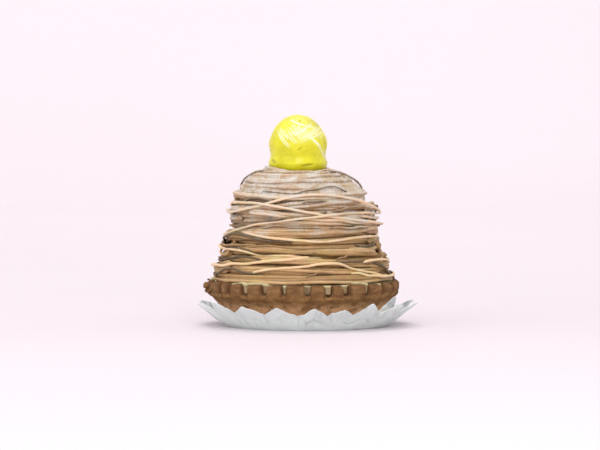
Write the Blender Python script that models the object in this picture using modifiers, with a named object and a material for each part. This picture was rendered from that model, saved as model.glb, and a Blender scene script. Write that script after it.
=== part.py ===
"""A mont blanc cake: a crimped tart shell with a pale filling, a tall mound of wound chestnut-cream
strands and one candied chestnut, all standing in a petal-edged foil case.

Metres, +Z up. The origin is the centre of the foil case's underside. Azimuth 0 is the front (-Y),
and it grows towards +X.
"""

import math
import random

import bmesh
import bpy
import numpy as np

MM = 0.001
GAP = 0.3 * MM

# The cake stands a little left of its case's middle, and its crown leans left with the chestnut
CAKE_SHIFT = -1.6 * MM
CROWN_SHIFT = -2.0 * MM
LEAN_BOTTOM = 46.0 * MM
LEAN_TOP = 60.0 * MM

# Foil case: a flat base and a wall that flares out to pointed petals
FOIL_THICKNESS = 0.4 * MM
FOIL_BASE_RADIUS = 32.4 * MM
FOIL_TIP_RADIUS = 44.8 * MM
FOIL_TIP_HEIGHT = 9.8 * MM
FOIL_PETALS = 20
FOIL_VALLEY_SHARE = 0.66
FOIL_FLUTE = 0.7 * MM
FOIL_TIP_SPREAD = 0.10
FOIL_VALLEY_SPREAD = 0.07
FOIL_TIP_SHIFT = 0.22
FOIL_SEED = 72230
FOIL_WALL_ROWS = 3

# Tart shell: a shallow crust bowl whose rim is cut by slots into small blocks
SHELL_BOTTOM = FOIL_THICKNESS + GAP
SHELL_FLOOR = 4.0 * MM
SHELL_RIM_HEIGHT = 18.0 * MM
SHELL_RIM_RADIUS = 38.5 * MM
SHELL_INNER_RADIUS = 35.2 * MM
SHELL_FOOT_RADIUS = 25.4 * MM
CRIMPS = 28
CRIMPS_TURNED = math.radians(-4.0)
SLOT_HALF_WIDTH = 1.35 * MM
SLOT_WIDTH_SHARE = (0.70, 1.35)
SLOT_SHIFT = 0.2
SLOT_DEPTH = 4.3 * MM
SLOT_DEPTH_SPREAD = 0.4 * MM
SLOT_SEED = 44963
SLOT_SIDES = 10

# Chestnut cream: strands of one thickness laid over a solid core
STRAND_RADIUS = 1.45 * MM
STRAND_SEAT = 1.25 * MM
STRAND_STEP = 1.0 * MM
STRAND_FACETS = 60
SKIN_CELL = 0.55 * MM
CREAM_TRIANGLES = 8800
CREAM_BOTTOM = SHELL_RIM_HEIGHT + GAP
PILE_ROWS = 120
PILE_COLUMNS = 360
SETTLE = 0.82
EASE_REACH = 4
END_DIP = 1.0 * MM
END_DIP_REACH = 2.0 * MM

# The core's face, from its foot on the rim to its top, as (radius, height)
FACE = [
    (33.4 * MM, CREAM_BOTTOM + 0.6 * MM),
    (31.6 * MM, 22.4 * MM),
    (29.2 * MM, 26.8 * MM),
    (27.1 * MM, 32.0 * MM),
    (25.8 * MM, 38.0 * MM),
    (25.2 * MM, 43.5 * MM),
    (24.7 * MM, 48.5 * MM),
    (23.0 * MM, 52.4 * MM),
    (20.9 * MM, 55.4 * MM),
    (18.3 * MM, 57.9 * MM),
    (15.3 * MM, 59.6 * MM),
    (11.0 * MM, 60.2 * MM),
    (0.0, 60.3 * MM),
]

# Level rings: one round the foot, and the crown's rings up to the chestnut
RING_PITCH = 3.0 * MM
FOOT_RING = 1.0 * MM
CROWN_RINGS = 5
CROWN_END_RADIUS = 14.3 * MM

# Back-and-forth winding: one run in front and one behind, each with hairpin turns at its sides
ROW_FIRST = 3.8 * MM
ROWS = 9
ROW_DRIFT = (-1.5 * MM, 2.3 * MM)
HAIRPIN_RADIUS = 1.55 * MM
HAIRPIN_AZIMUTH = (78.0, 122.0)
RUN_WAVE = 0.7 * MM
WINDING_SEED = 41

# Loose strands laid last: (azimuth of the middle, half span, climb of the middle, rise across it)
LOOSE_STRANDS = [
    (-12.0, 88.0, 30.4 * MM, 4.6 * MM),
    (18.0, 72.0, 25.6 * MM, -7.0 * MM),
    (-6.0, 96.0, 19.6 * MM, 6.2 * MM),
    (2.0, 84.0, 12.4 * MM, -3.4 * MM),
    (24.0, 78.0, 6.2 * MM, -6.0 * MM),
    (168.0, 82.0, 28.0 * MM, -5.6 * MM),
    (188.0, 92.0, 17.0 * MM, 5.4 * MM),
    (176.0, 86.0, 8.6 * MM, -4.8 * MM),
]

# Candied chestnut: its upright outline as (radius, height)
CHESTNUT_OUTLINE = [
    (0.0, 84.2 * MM),
    (4.4 * MM, 83.0 * MM),
    (7.9 * MM, 80.4 * MM),
    (10.2 * MM, 76.8 * MM),
    (11.7 * MM, 72.4 * MM),
    (11.0 * MM, 67.6 * MM),
    (11.7 * MM, 64.7 * MM),
    (10.2 * MM, 62.1 * MM),
    (7.2 * MM, 60.6 * MM),
    (0.0, 60.6 * MM),
]
CHESTNUT_DEPTH_SHARE = 0.94

TURN = 2 * math.pi


def clear_scene():
    for obj in list(bpy.data.objects):
        bpy.data.objects.remove(obj)


def new_collection(name):
    collection = bpy.data.collections.new(name)
    bpy.context.scene.collection.children.link(collection)
    return collection


def material(name, colour, roughness, metallic=0.0):
    made = bpy.data.materials.new(name)
    made.use_nodes = True
    shader = made.node_tree.nodes["Principled BSDF"]
    shader.inputs["Base Color"].default_value = (*colour, 1.0)
    shader.inputs["Roughness"].default_value = roughness
    shader.inputs["Metallic"].default_value = metallic
    return made


def add_object(name, mesh, collection, finish=None, parent=None):
    obj = bpy.data.objects.new(name, mesh)
    collection.objects.link(obj)
    obj.parent = parent
    if finish:
        mesh.materials.clear()
        mesh.materials.append(finish)
    return obj


def evaluated_mesh(obj):
    """The object's mesh with its modifiers or its bevel applied."""
    graph = bpy.context.evaluated_depsgraph_get()
    return bpy.data.meshes.new_from_object(obj.evaluated_get(graph))


def smooth_line(points, count):
    """Evenly spaced points on a smooth curve through the given ones."""
    known = np.array(points, float)
    ends = np.vstack([2 * known[0] - known[1], known, 2 * known[-1] - known[-2]])
    share = np.linspace(0, 1, 24, endpoint=False)[:, None]
    line = []
    for a, b, c, d in zip(ends, ends[1:], ends[2:], ends[3:]):
        line.append(
            0.5 * (2 * b + (c - a) * share + (2 * a - 5 * b + 4 * c - d) * share**2
                   + (3 * b - a - 3 * c + d) * share**3)
        )
    line = np.vstack([*line, known[-1]])
    run = np.concatenate([[0], np.cumsum(np.linalg.norm(np.diff(line, axis=0), axis=1))])
    wanted = np.linspace(0, run[-1], count)
    return np.column_stack([np.interp(wanted, run, line[:, i]) for i in range(line.shape[1])])


def turned(name, profile, steps, collection):
    """The profile, listed down its outer side, turned about Z with a Screw modifier and applied."""
    mesh = bpy.data.meshes.new(name + "_profile")
    points = [(radius, 0.0, height) for radius, height in profile]
    mesh.from_pydata(points, [(i, i + 1) for i in range(len(points) - 1)], [])
    guide = add_object(name + "_profile", mesh, collection)
    screw = guide.modifiers.new("turn", "SCREW")
    screw.angle = TURN
    screw.steps = screw.render_steps = steps
    screw.use_merge_vertices = True
    screw.merge_threshold = 0.01 * MM
    made = evaluated_mesh(guide)
    bpy.data.objects.remove(guide)
    return made


def reshape(mesh, rule):
    """Moves each vertex to where the rule puts its (azimuth, radius, height)."""
    for vertex in mesh.vertices:
        x, y, z = vertex.co
        radius, azimuth = math.hypot(x, y), math.atan2(x, -y)
        radius, azimuth, z = rule(azimuth, radius, z)
        vertex.co = (radius * math.sin(azimuth), -radius * math.cos(azimuth), z)


def inset(profile, distance):
    """The profile moved to its left by a distance; ends on the axis stay on it."""
    line = np.array(profile, float)
    along = np.gradient(line, axis=0)
    along /= np.linalg.norm(along, axis=1)[:, None]
    moved = line + distance * np.column_stack([-along[:, 1], along[:, 0]])
    moved[line[:, 0] < 1e-9, 0] = 0.0
    return moved.tolist()


def foil_case(parts, finish):
    """A flared cup of thin foil with a zigzag edge and a shallow flute in each petal."""
    rng = random.Random(FOIL_SEED)
    tips = [1 + rng.uniform(-FOIL_TIP_SPREAD, FOIL_TIP_SPREAD) for _ in range(FOIL_PETALS)]
    deeper = [rng.uniform(-FOIL_VALLEY_SPREAD, FOIL_VALLEY_SPREAD) for _ in range(FOIL_PETALS)]
    shifts = [rng.uniform(-FOIL_TIP_SHIFT, FOIL_TIP_SHIFT) for _ in range(FOIL_PETALS)]
    wall = FOIL_TIP_RADIUS - FOIL_BASE_RADIUS
    rows = [(FOIL_WALL_ROWS - i) / FOIL_WALL_ROWS for i in range(FOIL_WALL_ROWS)]
    profile = [(FOIL_BASE_RADIUS + wall * share, 0.0) for share in rows]
    profile += [(FOIL_BASE_RADIUS, 0.0), (0.0, 0.0)]
    mesh = turned("foil_case", profile, 4 * FOIL_PETALS, parts)

    def petals(azimuth, radius, height):
        share = (radius - FOIL_BASE_RADIUS) / wall
        if share <= 0:
            return radius, azimuth, height
        phase = azimuth * FOIL_PETALS / TURN
        before = math.floor(phase)
        past = phase - before
        to_tip = 1 - 2 * abs(phase - round(phase))
        valley = FOIL_VALLEY_SHARE + deeper[before % FOIL_PETALS]
        share *= valley + (tips[round(phase) % FOIL_PETALS] - valley) * to_tip
        shift = shifts[before % FOIL_PETALS] * (1 - past) + shifts[(before + 1) % FOIL_PETALS] * past
        flute = FOIL_FLUTE * share * math.cos(TURN * phase)
        height = FOIL_TIP_HEIGHT * share * (0.85 + 0.15 * share)
        return FOIL_BASE_RADIUS + wall * share + flute, azimuth + shift * TURN / FOIL_PETALS, height

    reshape(mesh, petals)
    obj = add_object("foil_case", mesh, parts, finish)
    solid = obj.modifiers.new("foil", "SOLIDIFY")
    solid.thickness = FOIL_THICKNESS
    solid.offset = -1.0
    return obj


def shell_inner_wall():
    """The inside of the crust from the middle of its floor up to the rim."""
    return [
        (0.0, SHELL_FLOOR),
        (26.0 * MM, SHELL_FLOOR),
        (30.2 * MM, 8.0 * MM),
        (33.6 * MM, 11.6 * MM),
        (35.0 * MM, 14.6 * MM),
        (SHELL_INNER_RADIUS, SHELL_RIM_HEIGHT - 0.5 * MM),
    ]


def shell_outer_wall():
    """The outside of the crust from the rim down to the middle of its foot."""
    return [
        (SHELL_INNER_RADIUS + 0.5 * MM, SHELL_RIM_HEIGHT),
        (SHELL_RIM_RADIUS - 0.7 * MM, SHELL_RIM_HEIGHT),
        (SHELL_RIM_RADIUS, SHELL_RIM_HEIGHT - 0.9 * MM),
        (SHELL_RIM_RADIUS, 14.8 * MM),
        (37.4 * MM, 12.4 * MM),
        (34.6 * MM, 9.6 * MM),
        (30.6 * MM, 6.0 * MM),
        (27.0 * MM, 2.2 * MM),
        (SHELL_FOOT_RADIUS, SHELL_BOTTOM),
        (0.0, SHELL_BOTTOM),
    ]


def slot_mesh(half_width):
    """An upright peg with a round lower end, which cuts one slot through the rim."""
    mesh = bpy.data.meshes.new("slot")
    form = bmesh.new()
    bmesh.ops.create_cone(
        form, cap_ends=True, segments=SLOT_SIDES, radius1=half_width, radius2=half_width, depth=10 * MM
    )
    for vertex in form.verts:
        across, up, along = vertex.co
        rise = SLOT_DEPTH if up > 0.1 * MM else 0.0
        vertex.co = (along, across, up + rise)
    form.to_mesh(mesh)
    form.free()
    return mesh


def tart_shell(parts, cutters, cake, finish):
    """The crust bowl with its slotted rim."""
    profile = shell_inner_wall() + shell_outer_wall()
    mesh = turned("tart_shell", profile, 2 * CRIMPS, parts)
    obj = add_object("tart_shell", mesh, parts, finish, cake)
    rng = random.Random(SLOT_SEED)
    middle = (SHELL_INNER_RADIUS + SHELL_RIM_RADIUS) / 2
    for i in range(CRIMPS):
        angle = TURN * (i + 0.5 + rng.uniform(-SLOT_SHIFT, SLOT_SHIFT)) / CRIMPS + CRIMPS_TURNED
        half_width = SLOT_HALF_WIDTH * rng.uniform(*SLOT_WIDTH_SHARE)
        deeper = rng.uniform(-SLOT_DEPTH_SPREAD, SLOT_DEPTH_SPREAD)
        cutter = add_object(f"slot_{i:02d}", slot_mesh(half_width), cutters, parent=cake)
        cutter.location = (
            middle * math.cos(angle),
            middle * math.sin(angle),
            SHELL_RIM_HEIGHT - SLOT_DEPTH - deeper + half_width,
        )
        cutter.rotation_euler.z = angle
        cutter.hide_render = True
        cutter.display_type = "WIRE"
    cut = obj.modifiers.new("slots", "BOOLEAN")
    cut.operation = "DIFFERENCE"
    cut.operand_type = "COLLECTION"
    cut.collection = cutters
    cut.solver = "EXACT"
    return obj


def filling(parts, cake, finish):
    """The pale filling that shows in the slots, level with the rim."""
    side = inset(shell_inner_wall(), GAP)
    top = SHELL_RIM_HEIGHT - 0.1 * MM
    side[-1] = (side[-1][0], top - 0.5 * MM)
    profile = side + [(side[-1][0] - 0.6 * MM, top), (0.0, top)]
    mesh = turned("filling", profile[::-1], CRIMPS, parts)
    return add_object("filling", mesh, parts, finish, cake)


def lean(height):
    """How far the mound's middle lies to the right of the cake's axis at a height."""
    share = np.clip((height - LEAN_BOTTOM) / (LEAN_TOP - LEAN_BOTTOM), 0, 1)
    return CROWN_SHIFT * share * share * (3 - 2 * share)


class Mound:
    """The mound's face and the pile of strands on it, as heights over a grid of azimuth and climb."""

    def __init__(self):
        line = smooth_line(FACE, 400)
        self.climb = np.concatenate([[0], np.cumsum(np.linalg.norm(np.diff(line, axis=0), axis=1))])
        self.radius, self.height = line.T
        along = np.gradient(line, axis=0)
        along /= np.linalg.norm(along, axis=1)[:, None]
        self.out, self.up = along[:, 1], -along[:, 0]
        self.pile = np.zeros((PILE_ROWS, PILE_COLUMNS))
        self.row_size = self.climb[-1] / (PILE_ROWS - 1)
        self.column_size = TURN / PILE_COLUMNS

    def radius_at(self, climb):
        return np.interp(climb, self.climb, self.radius)

    def climb_at_radius(self, radius):
        return float(np.interp(-radius, -self.radius, self.climb))

    def place(self, azimuth, climb, lift):
        """Points over the face, lifted along its normal."""
        radius = self.radius_at(climb) + lift * np.interp(climb, self.climb, self.out)
        height = np.interp(climb, self.climb, self.height) + lift * np.interp(climb, self.climb, self.up)
        return np.column_stack([radius * np.sin(azimuth) + lean(height), -radius * np.cos(azimuth), height])

    def evenly(self, azimuth, climb):
        """The same path with points about one step apart."""
        width = self.radius_at((climb[1:] + climb[:-1]) / 2)
        run = np.concatenate([[0], np.cumsum(np.hypot(np.diff(azimuth) * width, np.diff(climb)))])
        wanted = np.linspace(0, run[-1], max(3, round(run[-1] / STRAND_STEP)))
        return np.interp(wanted, run, azimuth), np.interp(wanted, run, climb), wanted

    def under(self, azimuth, climb):
        """The grid cells that a strand's round underside covers, and its depth over each."""
        width = max(self.radius_at(climb), 4 * MM) * self.column_size
        row, column = climb / self.row_size, azimuth / self.column_size
        rows = np.arange(math.ceil(row - STRAND_SEAT / self.row_size), row + STRAND_SEAT / self.row_size)
        reach = STRAND_SEAT / width
        columns = np.arange(math.ceil(column - reach), column + reach)
        rows = rows[(rows >= 0) & (rows < PILE_ROWS)]
        off = ((rows - row) * self.row_size)[:, None] ** 2 + ((columns - column) * width)[None, :] ** 2
        depth = np.sqrt(np.maximum(STRAND_SEAT**2 - off, 0))
        return np.ix_(rows.astype(int), columns.astype(int) % PILE_COLUMNS), depth, off < STRAND_SEAT**2

    def lay(self, azimuth, climb, closed=False):
        """Lays one strand on the pile and returns its centre line."""
        azimuth, climb, run = self.evenly(azimuth, climb)
        lift = np.empty(len(run))
        for i, (a, c) in enumerate(zip(azimuth, climb)):
            cells, depth, covered = self.under(a, c)
            lift[i] = (self.pile[cells] + depth)[covered].max()
        kernel = np.hanning(2 * EASE_REACH + 3)[1:-1]
        around = np.pad(lift * SETTLE, EASE_REACH, mode="wrap" if closed else "edge")
        lift = np.convolve(around, kernel / kernel.sum(), "valid")
        if not closed:
            from_end = np.minimum(run, run[-1] - run)
            lift = np.maximum(lift - END_DIP * np.exp(-from_end / END_DIP_REACH), 0)
        for a, c, height in zip(azimuth, climb, lift):
            cells, depth, covered = self.under(a, c)
            raised = np.maximum(self.pile[cells], height + depth)
            self.pile[cells] = np.where(covered, raised, self.pile[cells])
        return self.place(azimuth, climb, lift)


def ring(climb):
    """A level ring at a climb over the core's face."""
    azimuth = np.linspace(0, TURN, 181)[:-1]
    return azimuth, np.full(len(azimuth), climb)


def zigzag(rng, middle):
    """A back-and-forth run centred on an azimuth, with a round hairpin turn at each side."""
    azimuth, climb = [], []
    side, level = -1, ROW_FIRST
    reach = {s: math.radians(rng.uniform(*HAIRPIN_AZIMUTH)) for s in (-1, 1)}
    turn = np.linspace(0, math.pi, 12)[1:-1]
    for _ in range(ROWS):
        start, end = side * reach[side], -side * reach[-side]
        share = np.linspace(0, 1, 60)
        wave = RUN_WAVE * np.sin(TURN * (share * rng.uniform(0.8, 1.5) + rng.random()))
        azimuth.append(middle + start + (end - start) * share)
        climb.append(level + rng.uniform(*ROW_DRIFT) * share + wave * np.sin(math.pi * share))
        level, side = climb[-1][-1], -side
        bulge = HAIRPIN_RADIUS / (27 * MM)
        azimuth.append(middle + end + side * bulge * np.sin(turn))
        climb.append(level + HAIRPIN_RADIUS * (1 - np.cos(turn)))
        level += 2 * HAIRPIN_RADIUS
        reach[side] = math.radians(rng.uniform(*HAIRPIN_AZIMUTH))
    return np.concatenate(azimuth[:-1]), np.concatenate(climb[:-1])


def loose_strand(rng, middle, half_span, level, rise):
    """A single gently bowed strand across the mound."""
    share = np.linspace(-1, 1, 80)
    azimuth = math.radians(middle) + math.radians(half_span) * share
    bow = rng.uniform(-1.0, 1.0) * MM
    return azimuth, level + rise * share / 2 + bow * (1 - share**2)


def strand_lines():
    """The centre line of every strand, in the order in which they are laid."""
    rng = random.Random(WINDING_SEED)
    mound = Mound()
    crown_end = mound.climb_at_radius(CROWN_END_RADIUS)
    rings = [FOOT_RING] + [crown_end - i * RING_PITCH for i in range(CROWN_RINGS)]
    lines = [(mound.lay(*ring(climb), closed=True), True) for climb in rings]
    runs = [zigzag(rng, middle) for middle in (0.0, math.pi)]
    runs += [loose_strand(rng, *strand) for strand in LOOSE_STRANDS]
    lines += [(mound.lay(*run), False) for run in runs]
    return lines


def thinned(line, most_turn=TURN / STRAND_FACETS, most_step=4 * MM):
    """Drops points from a line where it runs nearly straight."""
    kept, turned_by, gone = [0], 0.0, 0.0
    for i in range(1, len(line) - 1):
        before, after = line[i] - line[i - 1], line[i + 1] - line[i]
        lengths = np.linalg.norm(before) * np.linalg.norm(after)
        turned_by += math.acos(np.clip(before @ after / lengths, -1, 1))
        gone += np.linalg.norm(before)
        if turned_by >= most_turn or gone >= most_step:
            kept.append(i)
            turned_by, gone = 0.0, 0.0
    return line[[*kept, len(line) - 1]]


def tube_mesh(name, line, closed, collection):
    """An eight-sided tube along a line, as a closed mesh."""
    curve = bpy.data.curves.new(name, "CURVE")
    curve.dimensions = "3D"
    curve.bevel_depth = STRAND_RADIUS
    curve.bevel_resolution = 2
    curve.use_fill_caps = True
    spline = curve.splines.new("POLY")
    spline.points.add(len(line) - 1)
    spline.use_cyclic_u = closed
    for point, place in zip(spline.points, line):
        point.co = (*place, 1.0)
    guide = add_object(name, curve, collection)
    mesh = evaluated_mesh(guide)
    bpy.data.objects.remove(guide)
    form = bmesh.new()
    form.from_mesh(mesh)
    bmesh.ops.remove_doubles(form, verts=form.verts, dist=0.001 * MM)
    form.to_mesh(mesh)
    form.free()
    return mesh


def core_mesh(parts):
    """The solid under the strands."""
    side = smooth_line(FACE, 16).tolist()
    foot = [(side[0][0] - 0.4 * MM, CREAM_BOTTOM), (0.0, CREAM_BOTTOM)]
    mesh = turned("chestnut_cream", side[::-1] + foot, 32, parts)
    for vertex in mesh.vertices:
        vertex.co.x += lean(vertex.co.z)
    return mesh


def keep_outer_skin(mesh):
    """Drops every loose scrap and sealed hollow, so that one closed skin is left."""
    form = bmesh.new()
    form.from_mesh(mesh)
    form.faces.ensure_lookup_table()
    seen, skins = set(), []
    for face in form.faces:
        if face in seen:
            continue
        skin, queue = [], [face]
        seen.add(face)
        while queue:
            at = queue.pop()
            skin.append(at)
            for edge in at.edges:
                for other in edge.link_faces:
                    if other not in seen:
                        seen.add(other)
                        queue.append(other)
        skins.append(skin)
    skins.sort(key=len)
    extra = [face for skin in skins[:-1] for face in skin]
    bmesh.ops.delete(form, geom=extra, context="FACES")
    form.to_mesh(mesh)
    form.free()


def applied(obj, modifier):
    """Applies the object's one modifier."""
    made = evaluated_mesh(obj)
    obj.modifiers.remove(modifier)
    obj.data = made


def chestnut_cream(parts, cake, finish):
    """The core with every strand fused on by one union, then skinned with evenly sized faces."""
    obj = add_object("chestnut_cream", core_mesh(parts), parts, finish)
    strands = new_collection("strands")
    for i, (line, closed) in enumerate(strand_lines()):
        name = f"strand_{i:02d}"
        add_object(name, tube_mesh(name, thinned(line), closed, strands), strands)
    join = obj.modifiers.new("strands", "BOOLEAN")
    join.operation = "UNION"
    join.operand_type = "COLLECTION"
    join.collection = strands
    join.solver = "MANIFOLD"
    applied(obj, join)
    keep_outer_skin(obj.data)
    skin = obj.modifiers.new("skin", "REMESH")
    skin.mode = "VOXEL"
    skin.voxel_size = SKIN_CELL
    applied(obj, skin)
    keep_outer_skin(obj.data)
    fewer = obj.modifiers.new("fewer", "DECIMATE")
    fewer.ratio = CREAM_TRIANGLES / (2 * len(obj.data.polygons))
    applied(obj, fewer)
    for strand in list(strands.objects):
        bpy.data.objects.remove(strand)
    bpy.data.collections.remove(strands)
    obj.parent = cake
    return obj


def candied_chestnut(parts, cake, finish):
    """A peeled chestnut, broad at its foot and a little flatter from front to back."""
    outline = smooth_line(CHESTNUT_OUTLINE[:-1], 14).tolist() + [CHESTNUT_OUTLINE[-1]]
    mesh = turned("candied_chestnut", outline, 24, parts)
    for vertex in mesh.vertices:
        x, y = vertex.co.xy
        vertex.co.x = x * (1 + 0.03 * math.sin(3 * math.atan2(y, x)))
        vertex.co.y = y * CHESTNUT_DEPTH_SHARE
    obj = add_object("candied_chestnut", mesh, parts, finish, cake)
    obj.location.x = CROWN_SHIFT
    return obj


def main():
    clear_scene()
    parts = new_collection("mont_blanc_cake")
    cutters = new_collection("cutters")
    cake = add_object("cake", None, parts)
    cake.location.x = CAKE_SHIFT
    foil_case(parts, material("foil", (0.60, 0.61, 0.62), 0.38, 0.9))
    tart_shell(parts, cutters, cake, material("tart_crust", (0.205, 0.108, 0.048), 0.75))
    filling(parts, cake, material("pale_filling", (0.72, 0.60, 0.36), 0.6))
    chestnut_cream(parts, cake, material("chestnut_cream", (0.46, 0.30, 0.155), 0.7))
    candied_chestnut(parts, cake, material("candied_chestnut", (0.88, 0.76, 0.07), 0.18))


main()
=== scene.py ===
"""The looks of a mont blanc cake: wound strands of chestnut cream on a crimped tart shell, a glossy
candied chestnut on top and a petal-edged foil case below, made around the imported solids.

Metres, +Z up. Azimuth 0 is the front (-Y), and it grows towards +X.
"""

import math
import random
from collections import namedtuple

import bmesh
import bpy
import numpy as np
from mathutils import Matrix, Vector
from mathutils.bvhtree import BVHTree


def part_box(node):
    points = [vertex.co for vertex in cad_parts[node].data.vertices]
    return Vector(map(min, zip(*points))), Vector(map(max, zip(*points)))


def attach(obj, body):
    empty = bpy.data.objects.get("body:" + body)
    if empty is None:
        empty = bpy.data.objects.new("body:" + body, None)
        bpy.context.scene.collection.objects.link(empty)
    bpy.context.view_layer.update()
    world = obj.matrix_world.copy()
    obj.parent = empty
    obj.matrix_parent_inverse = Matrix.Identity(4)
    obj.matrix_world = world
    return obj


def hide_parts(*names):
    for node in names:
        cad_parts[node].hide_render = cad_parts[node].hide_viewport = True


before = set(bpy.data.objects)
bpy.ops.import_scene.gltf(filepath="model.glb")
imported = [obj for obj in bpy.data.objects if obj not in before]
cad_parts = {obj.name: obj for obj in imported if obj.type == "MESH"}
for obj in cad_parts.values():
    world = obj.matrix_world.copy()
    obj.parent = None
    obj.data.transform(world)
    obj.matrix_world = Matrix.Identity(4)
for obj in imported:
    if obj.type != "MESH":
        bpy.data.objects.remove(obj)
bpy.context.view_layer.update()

MM = 0.001
TURN = 2 * math.pi
BODY = "root"
WELD_DISTANCE = 0.002 * MM

# Foil case
FOIL_THICKNESS = 0.15 * MM
FOIL_BASE_RADIUS = 32.4 * MM
FOIL_TIP_RADIUS = 44.8 * MM
FOIL_TIP_HEIGHT = 9.8 * MM
FOIL_PETALS = 20
FOIL_VALLEY_SHARE = 0.66
FOIL_FLUTE = 0.7 * MM
FOIL_TIP_SPREAD = 0.10
FOIL_VALLEY_SPREAD = 0.07
FOIL_TIP_SHIFT = 0.22
FOIL_FULLNESS = (0.72, 1.05)
PLEAT_DEPTH = 0.18 * MM
CRUMPLE_DEPTH = 0.45 * MM
CREASE_DEPTH = 0.30 * MM
FOLD_DEPTH = 0.25 * MM
PETAL_BEND = 0.7 * MM
FOIL_SEED = 72230
FOIL_COLUMNS_PER_PETAL = 32
FOIL_BASE_ROWS = 4
FOIL_WALL_ROWS = 26
FOIL_PLEATS_AROUND = 25

# Tart shell
SHELL_BOTTOM = 0.7 * MM
SHELL_FLOOR = 4.0 * MM
SHELL_RIM_HEIGHT = 18.0 * MM
SHELL_RIM_RADIUS = 38.5 * MM
SHELL_INNER_RADIUS = 35.2 * MM
SHELL_FOOT_RADIUS = 25.4 * MM
CRIMPS = 28
CRIMPS_TURNED = math.radians(-4.0)
SLOT_HALF_WIDTH = 1.35 * MM
SLOT_WIDTH_SHARE = (0.70, 1.35)
SLOT_SHIFT = 0.2
SLOT_DEPTH = 4.3 * MM
SLOT_DEPTH_SPREAD = 0.4 * MM
SLOT_SEED = 44963
BLOCK_ROUNDING = 0.7 * MM
RIM_FOOT = 11.5 * MM
UNEVEN_RIM = 0.3 * MM
CHIP_DEPTH = 0.45 * MM
BLISTER_HEIGHT = 0.25 * MM
CRACK_DEPTH = 0.3 * MM
GROOVE_DEPTH = 0.3 * MM
CRUST_SHARP_ANGLE = math.radians(62)
CRUST_COLUMNS_PER_CRIMP = 32
FILLING_COLUMNS_PER_CRIMP = 16

# The crust's outline as (radius, height): up its inside, then over the rim and down to its foot
CRUST_INSIDE = [
    (0.0, SHELL_FLOOR),
    (26.0 * MM, SHELL_FLOOR),
    (30.2 * MM, 8.0 * MM),
    (33.6 * MM, 11.6 * MM),
    (35.0 * MM, 14.6 * MM),
    (SHELL_INNER_RADIUS, SHELL_RIM_HEIGHT - 0.8 * MM),
]
CRUST_OUTSIDE = [
    (SHELL_INNER_RADIUS + 0.7 * MM, SHELL_RIM_HEIGHT),
    (SHELL_RIM_RADIUS - 1.0 * MM, SHELL_RIM_HEIGHT),
    (SHELL_RIM_RADIUS, SHELL_RIM_HEIGHT - 1.1 * MM),
    (SHELL_RIM_RADIUS, 14.8 * MM),
    (37.4 * MM, 12.4 * MM),
    (34.6 * MM, 9.6 * MM),
    (30.6 * MM, 6.0 * MM),
    (27.0 * MM, 2.2 * MM),
    (SHELL_FOOT_RADIUS, SHELL_BOTTOM),
]

# Filling, and where it is squeezed up over the rim: (azimuth, half span, height)
FILLING_TOP = SHELL_RIM_HEIGHT - 0.1 * MM
FILLING_RADIUS = SHELL_INNER_RADIUS - 0.3 * MM
FILLING_SIDE = [
    (32.0 * MM, FILLING_TOP),
    (FILLING_RADIUS - 0.4 * MM, FILLING_TOP),
    (FILLING_RADIUS, FILLING_TOP - 0.4 * MM),
    (34.7 * MM, 14.6 * MM),
    (33.3 * MM, 11.8 * MM),
]
FILLING_UNDER = [(29.9 * MM, 8.3 * MM), (25.8 * MM, 4.3 * MM), (0.0, 4.3 * MM)]
SQUEEZES = [
    (-34, 20, 1.3 * MM),
    (37, 8, 1.1 * MM),
    (128, 14, 1.0 * MM),
    (196, 20, 1.4 * MM),
    (-96, 10, 1.1 * MM),
]
FULL_SLOTS_SEED = 7606

# Chestnut cream, laid by the same rule as in the solid
CROWN_SHIFT = -2.0 * MM
LEAN_BOTTOM = 46.0 * MM
LEAN_TOP = 60.0 * MM
STRAND_SEAT = 1.25 * MM
STRAND_STEP = 1.0 * MM
CREAM_BOTTOM = SHELL_RIM_HEIGHT + 0.3 * MM
PILE_ROWS = 120
PILE_COLUMNS = 360
SETTLE = 0.82
EASE_REACH = 4
END_DIP = 1.0 * MM
END_DIP_REACH = 2.0 * MM

# The mound's face from its foot to its top: (radius, height)
FACE = [
    (33.4 * MM, CREAM_BOTTOM + 0.6 * MM),
    (31.6 * MM, 22.4 * MM),
    (29.2 * MM, 26.8 * MM),
    (27.1 * MM, 32.0 * MM),
    (25.8 * MM, 38.0 * MM),
    (25.2 * MM, 43.5 * MM),
    (24.7 * MM, 48.5 * MM),
    (23.0 * MM, 52.4 * MM),
    (20.9 * MM, 55.4 * MM),
    (18.3 * MM, 57.9 * MM),
    (15.3 * MM, 59.6 * MM),
    (11.0 * MM, 60.2 * MM),
    (0.0, 60.3 * MM),
]
RING_PITCH = 3.0 * MM
FOOT_RING = 1.0 * MM
CROWN_RINGS = 5
CROWN_END_RADIUS = 14.3 * MM
ROW_FIRST = 3.8 * MM
ROWS = 9
ROW_DRIFT = (-1.5 * MM, 2.3 * MM)
HAIRPIN_RADIUS = 1.55 * MM
HAIRPIN_AZIMUTH = (78.0, 122.0)
RUN_WAVE = 0.7 * MM
WINDING_SEED = 41

# Loose strands over the windings: (middle azimuth, half span, climb, rise)
LOOSE_STRANDS = [
    (-12.0, 88.0, 30.4 * MM, 4.6 * MM),
    (18.0, 72.0, 25.6 * MM, -7.0 * MM),
    (-6.0, 96.0, 19.6 * MM, 6.2 * MM),
    (2.0, 84.0, 12.4 * MM, -3.4 * MM),
    (24.0, 78.0, 6.2 * MM, -6.0 * MM),
    (168.0, 82.0, 28.0 * MM, -5.6 * MM),
    (188.0, 92.0, 17.0 * MM, 5.4 * MM),
    (176.0, 86.0, 8.6 * MM, -4.8 * MM),
]

# What shows between those strands: level rings half sunk in the core
UNDER_PITCH = 2.7 * MM
UNDER_RADIUS = 1.25 * MM
UNDER_LIFT = -0.15 * MM
UNDER_END_RADIUS = 8.0 * MM

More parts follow.
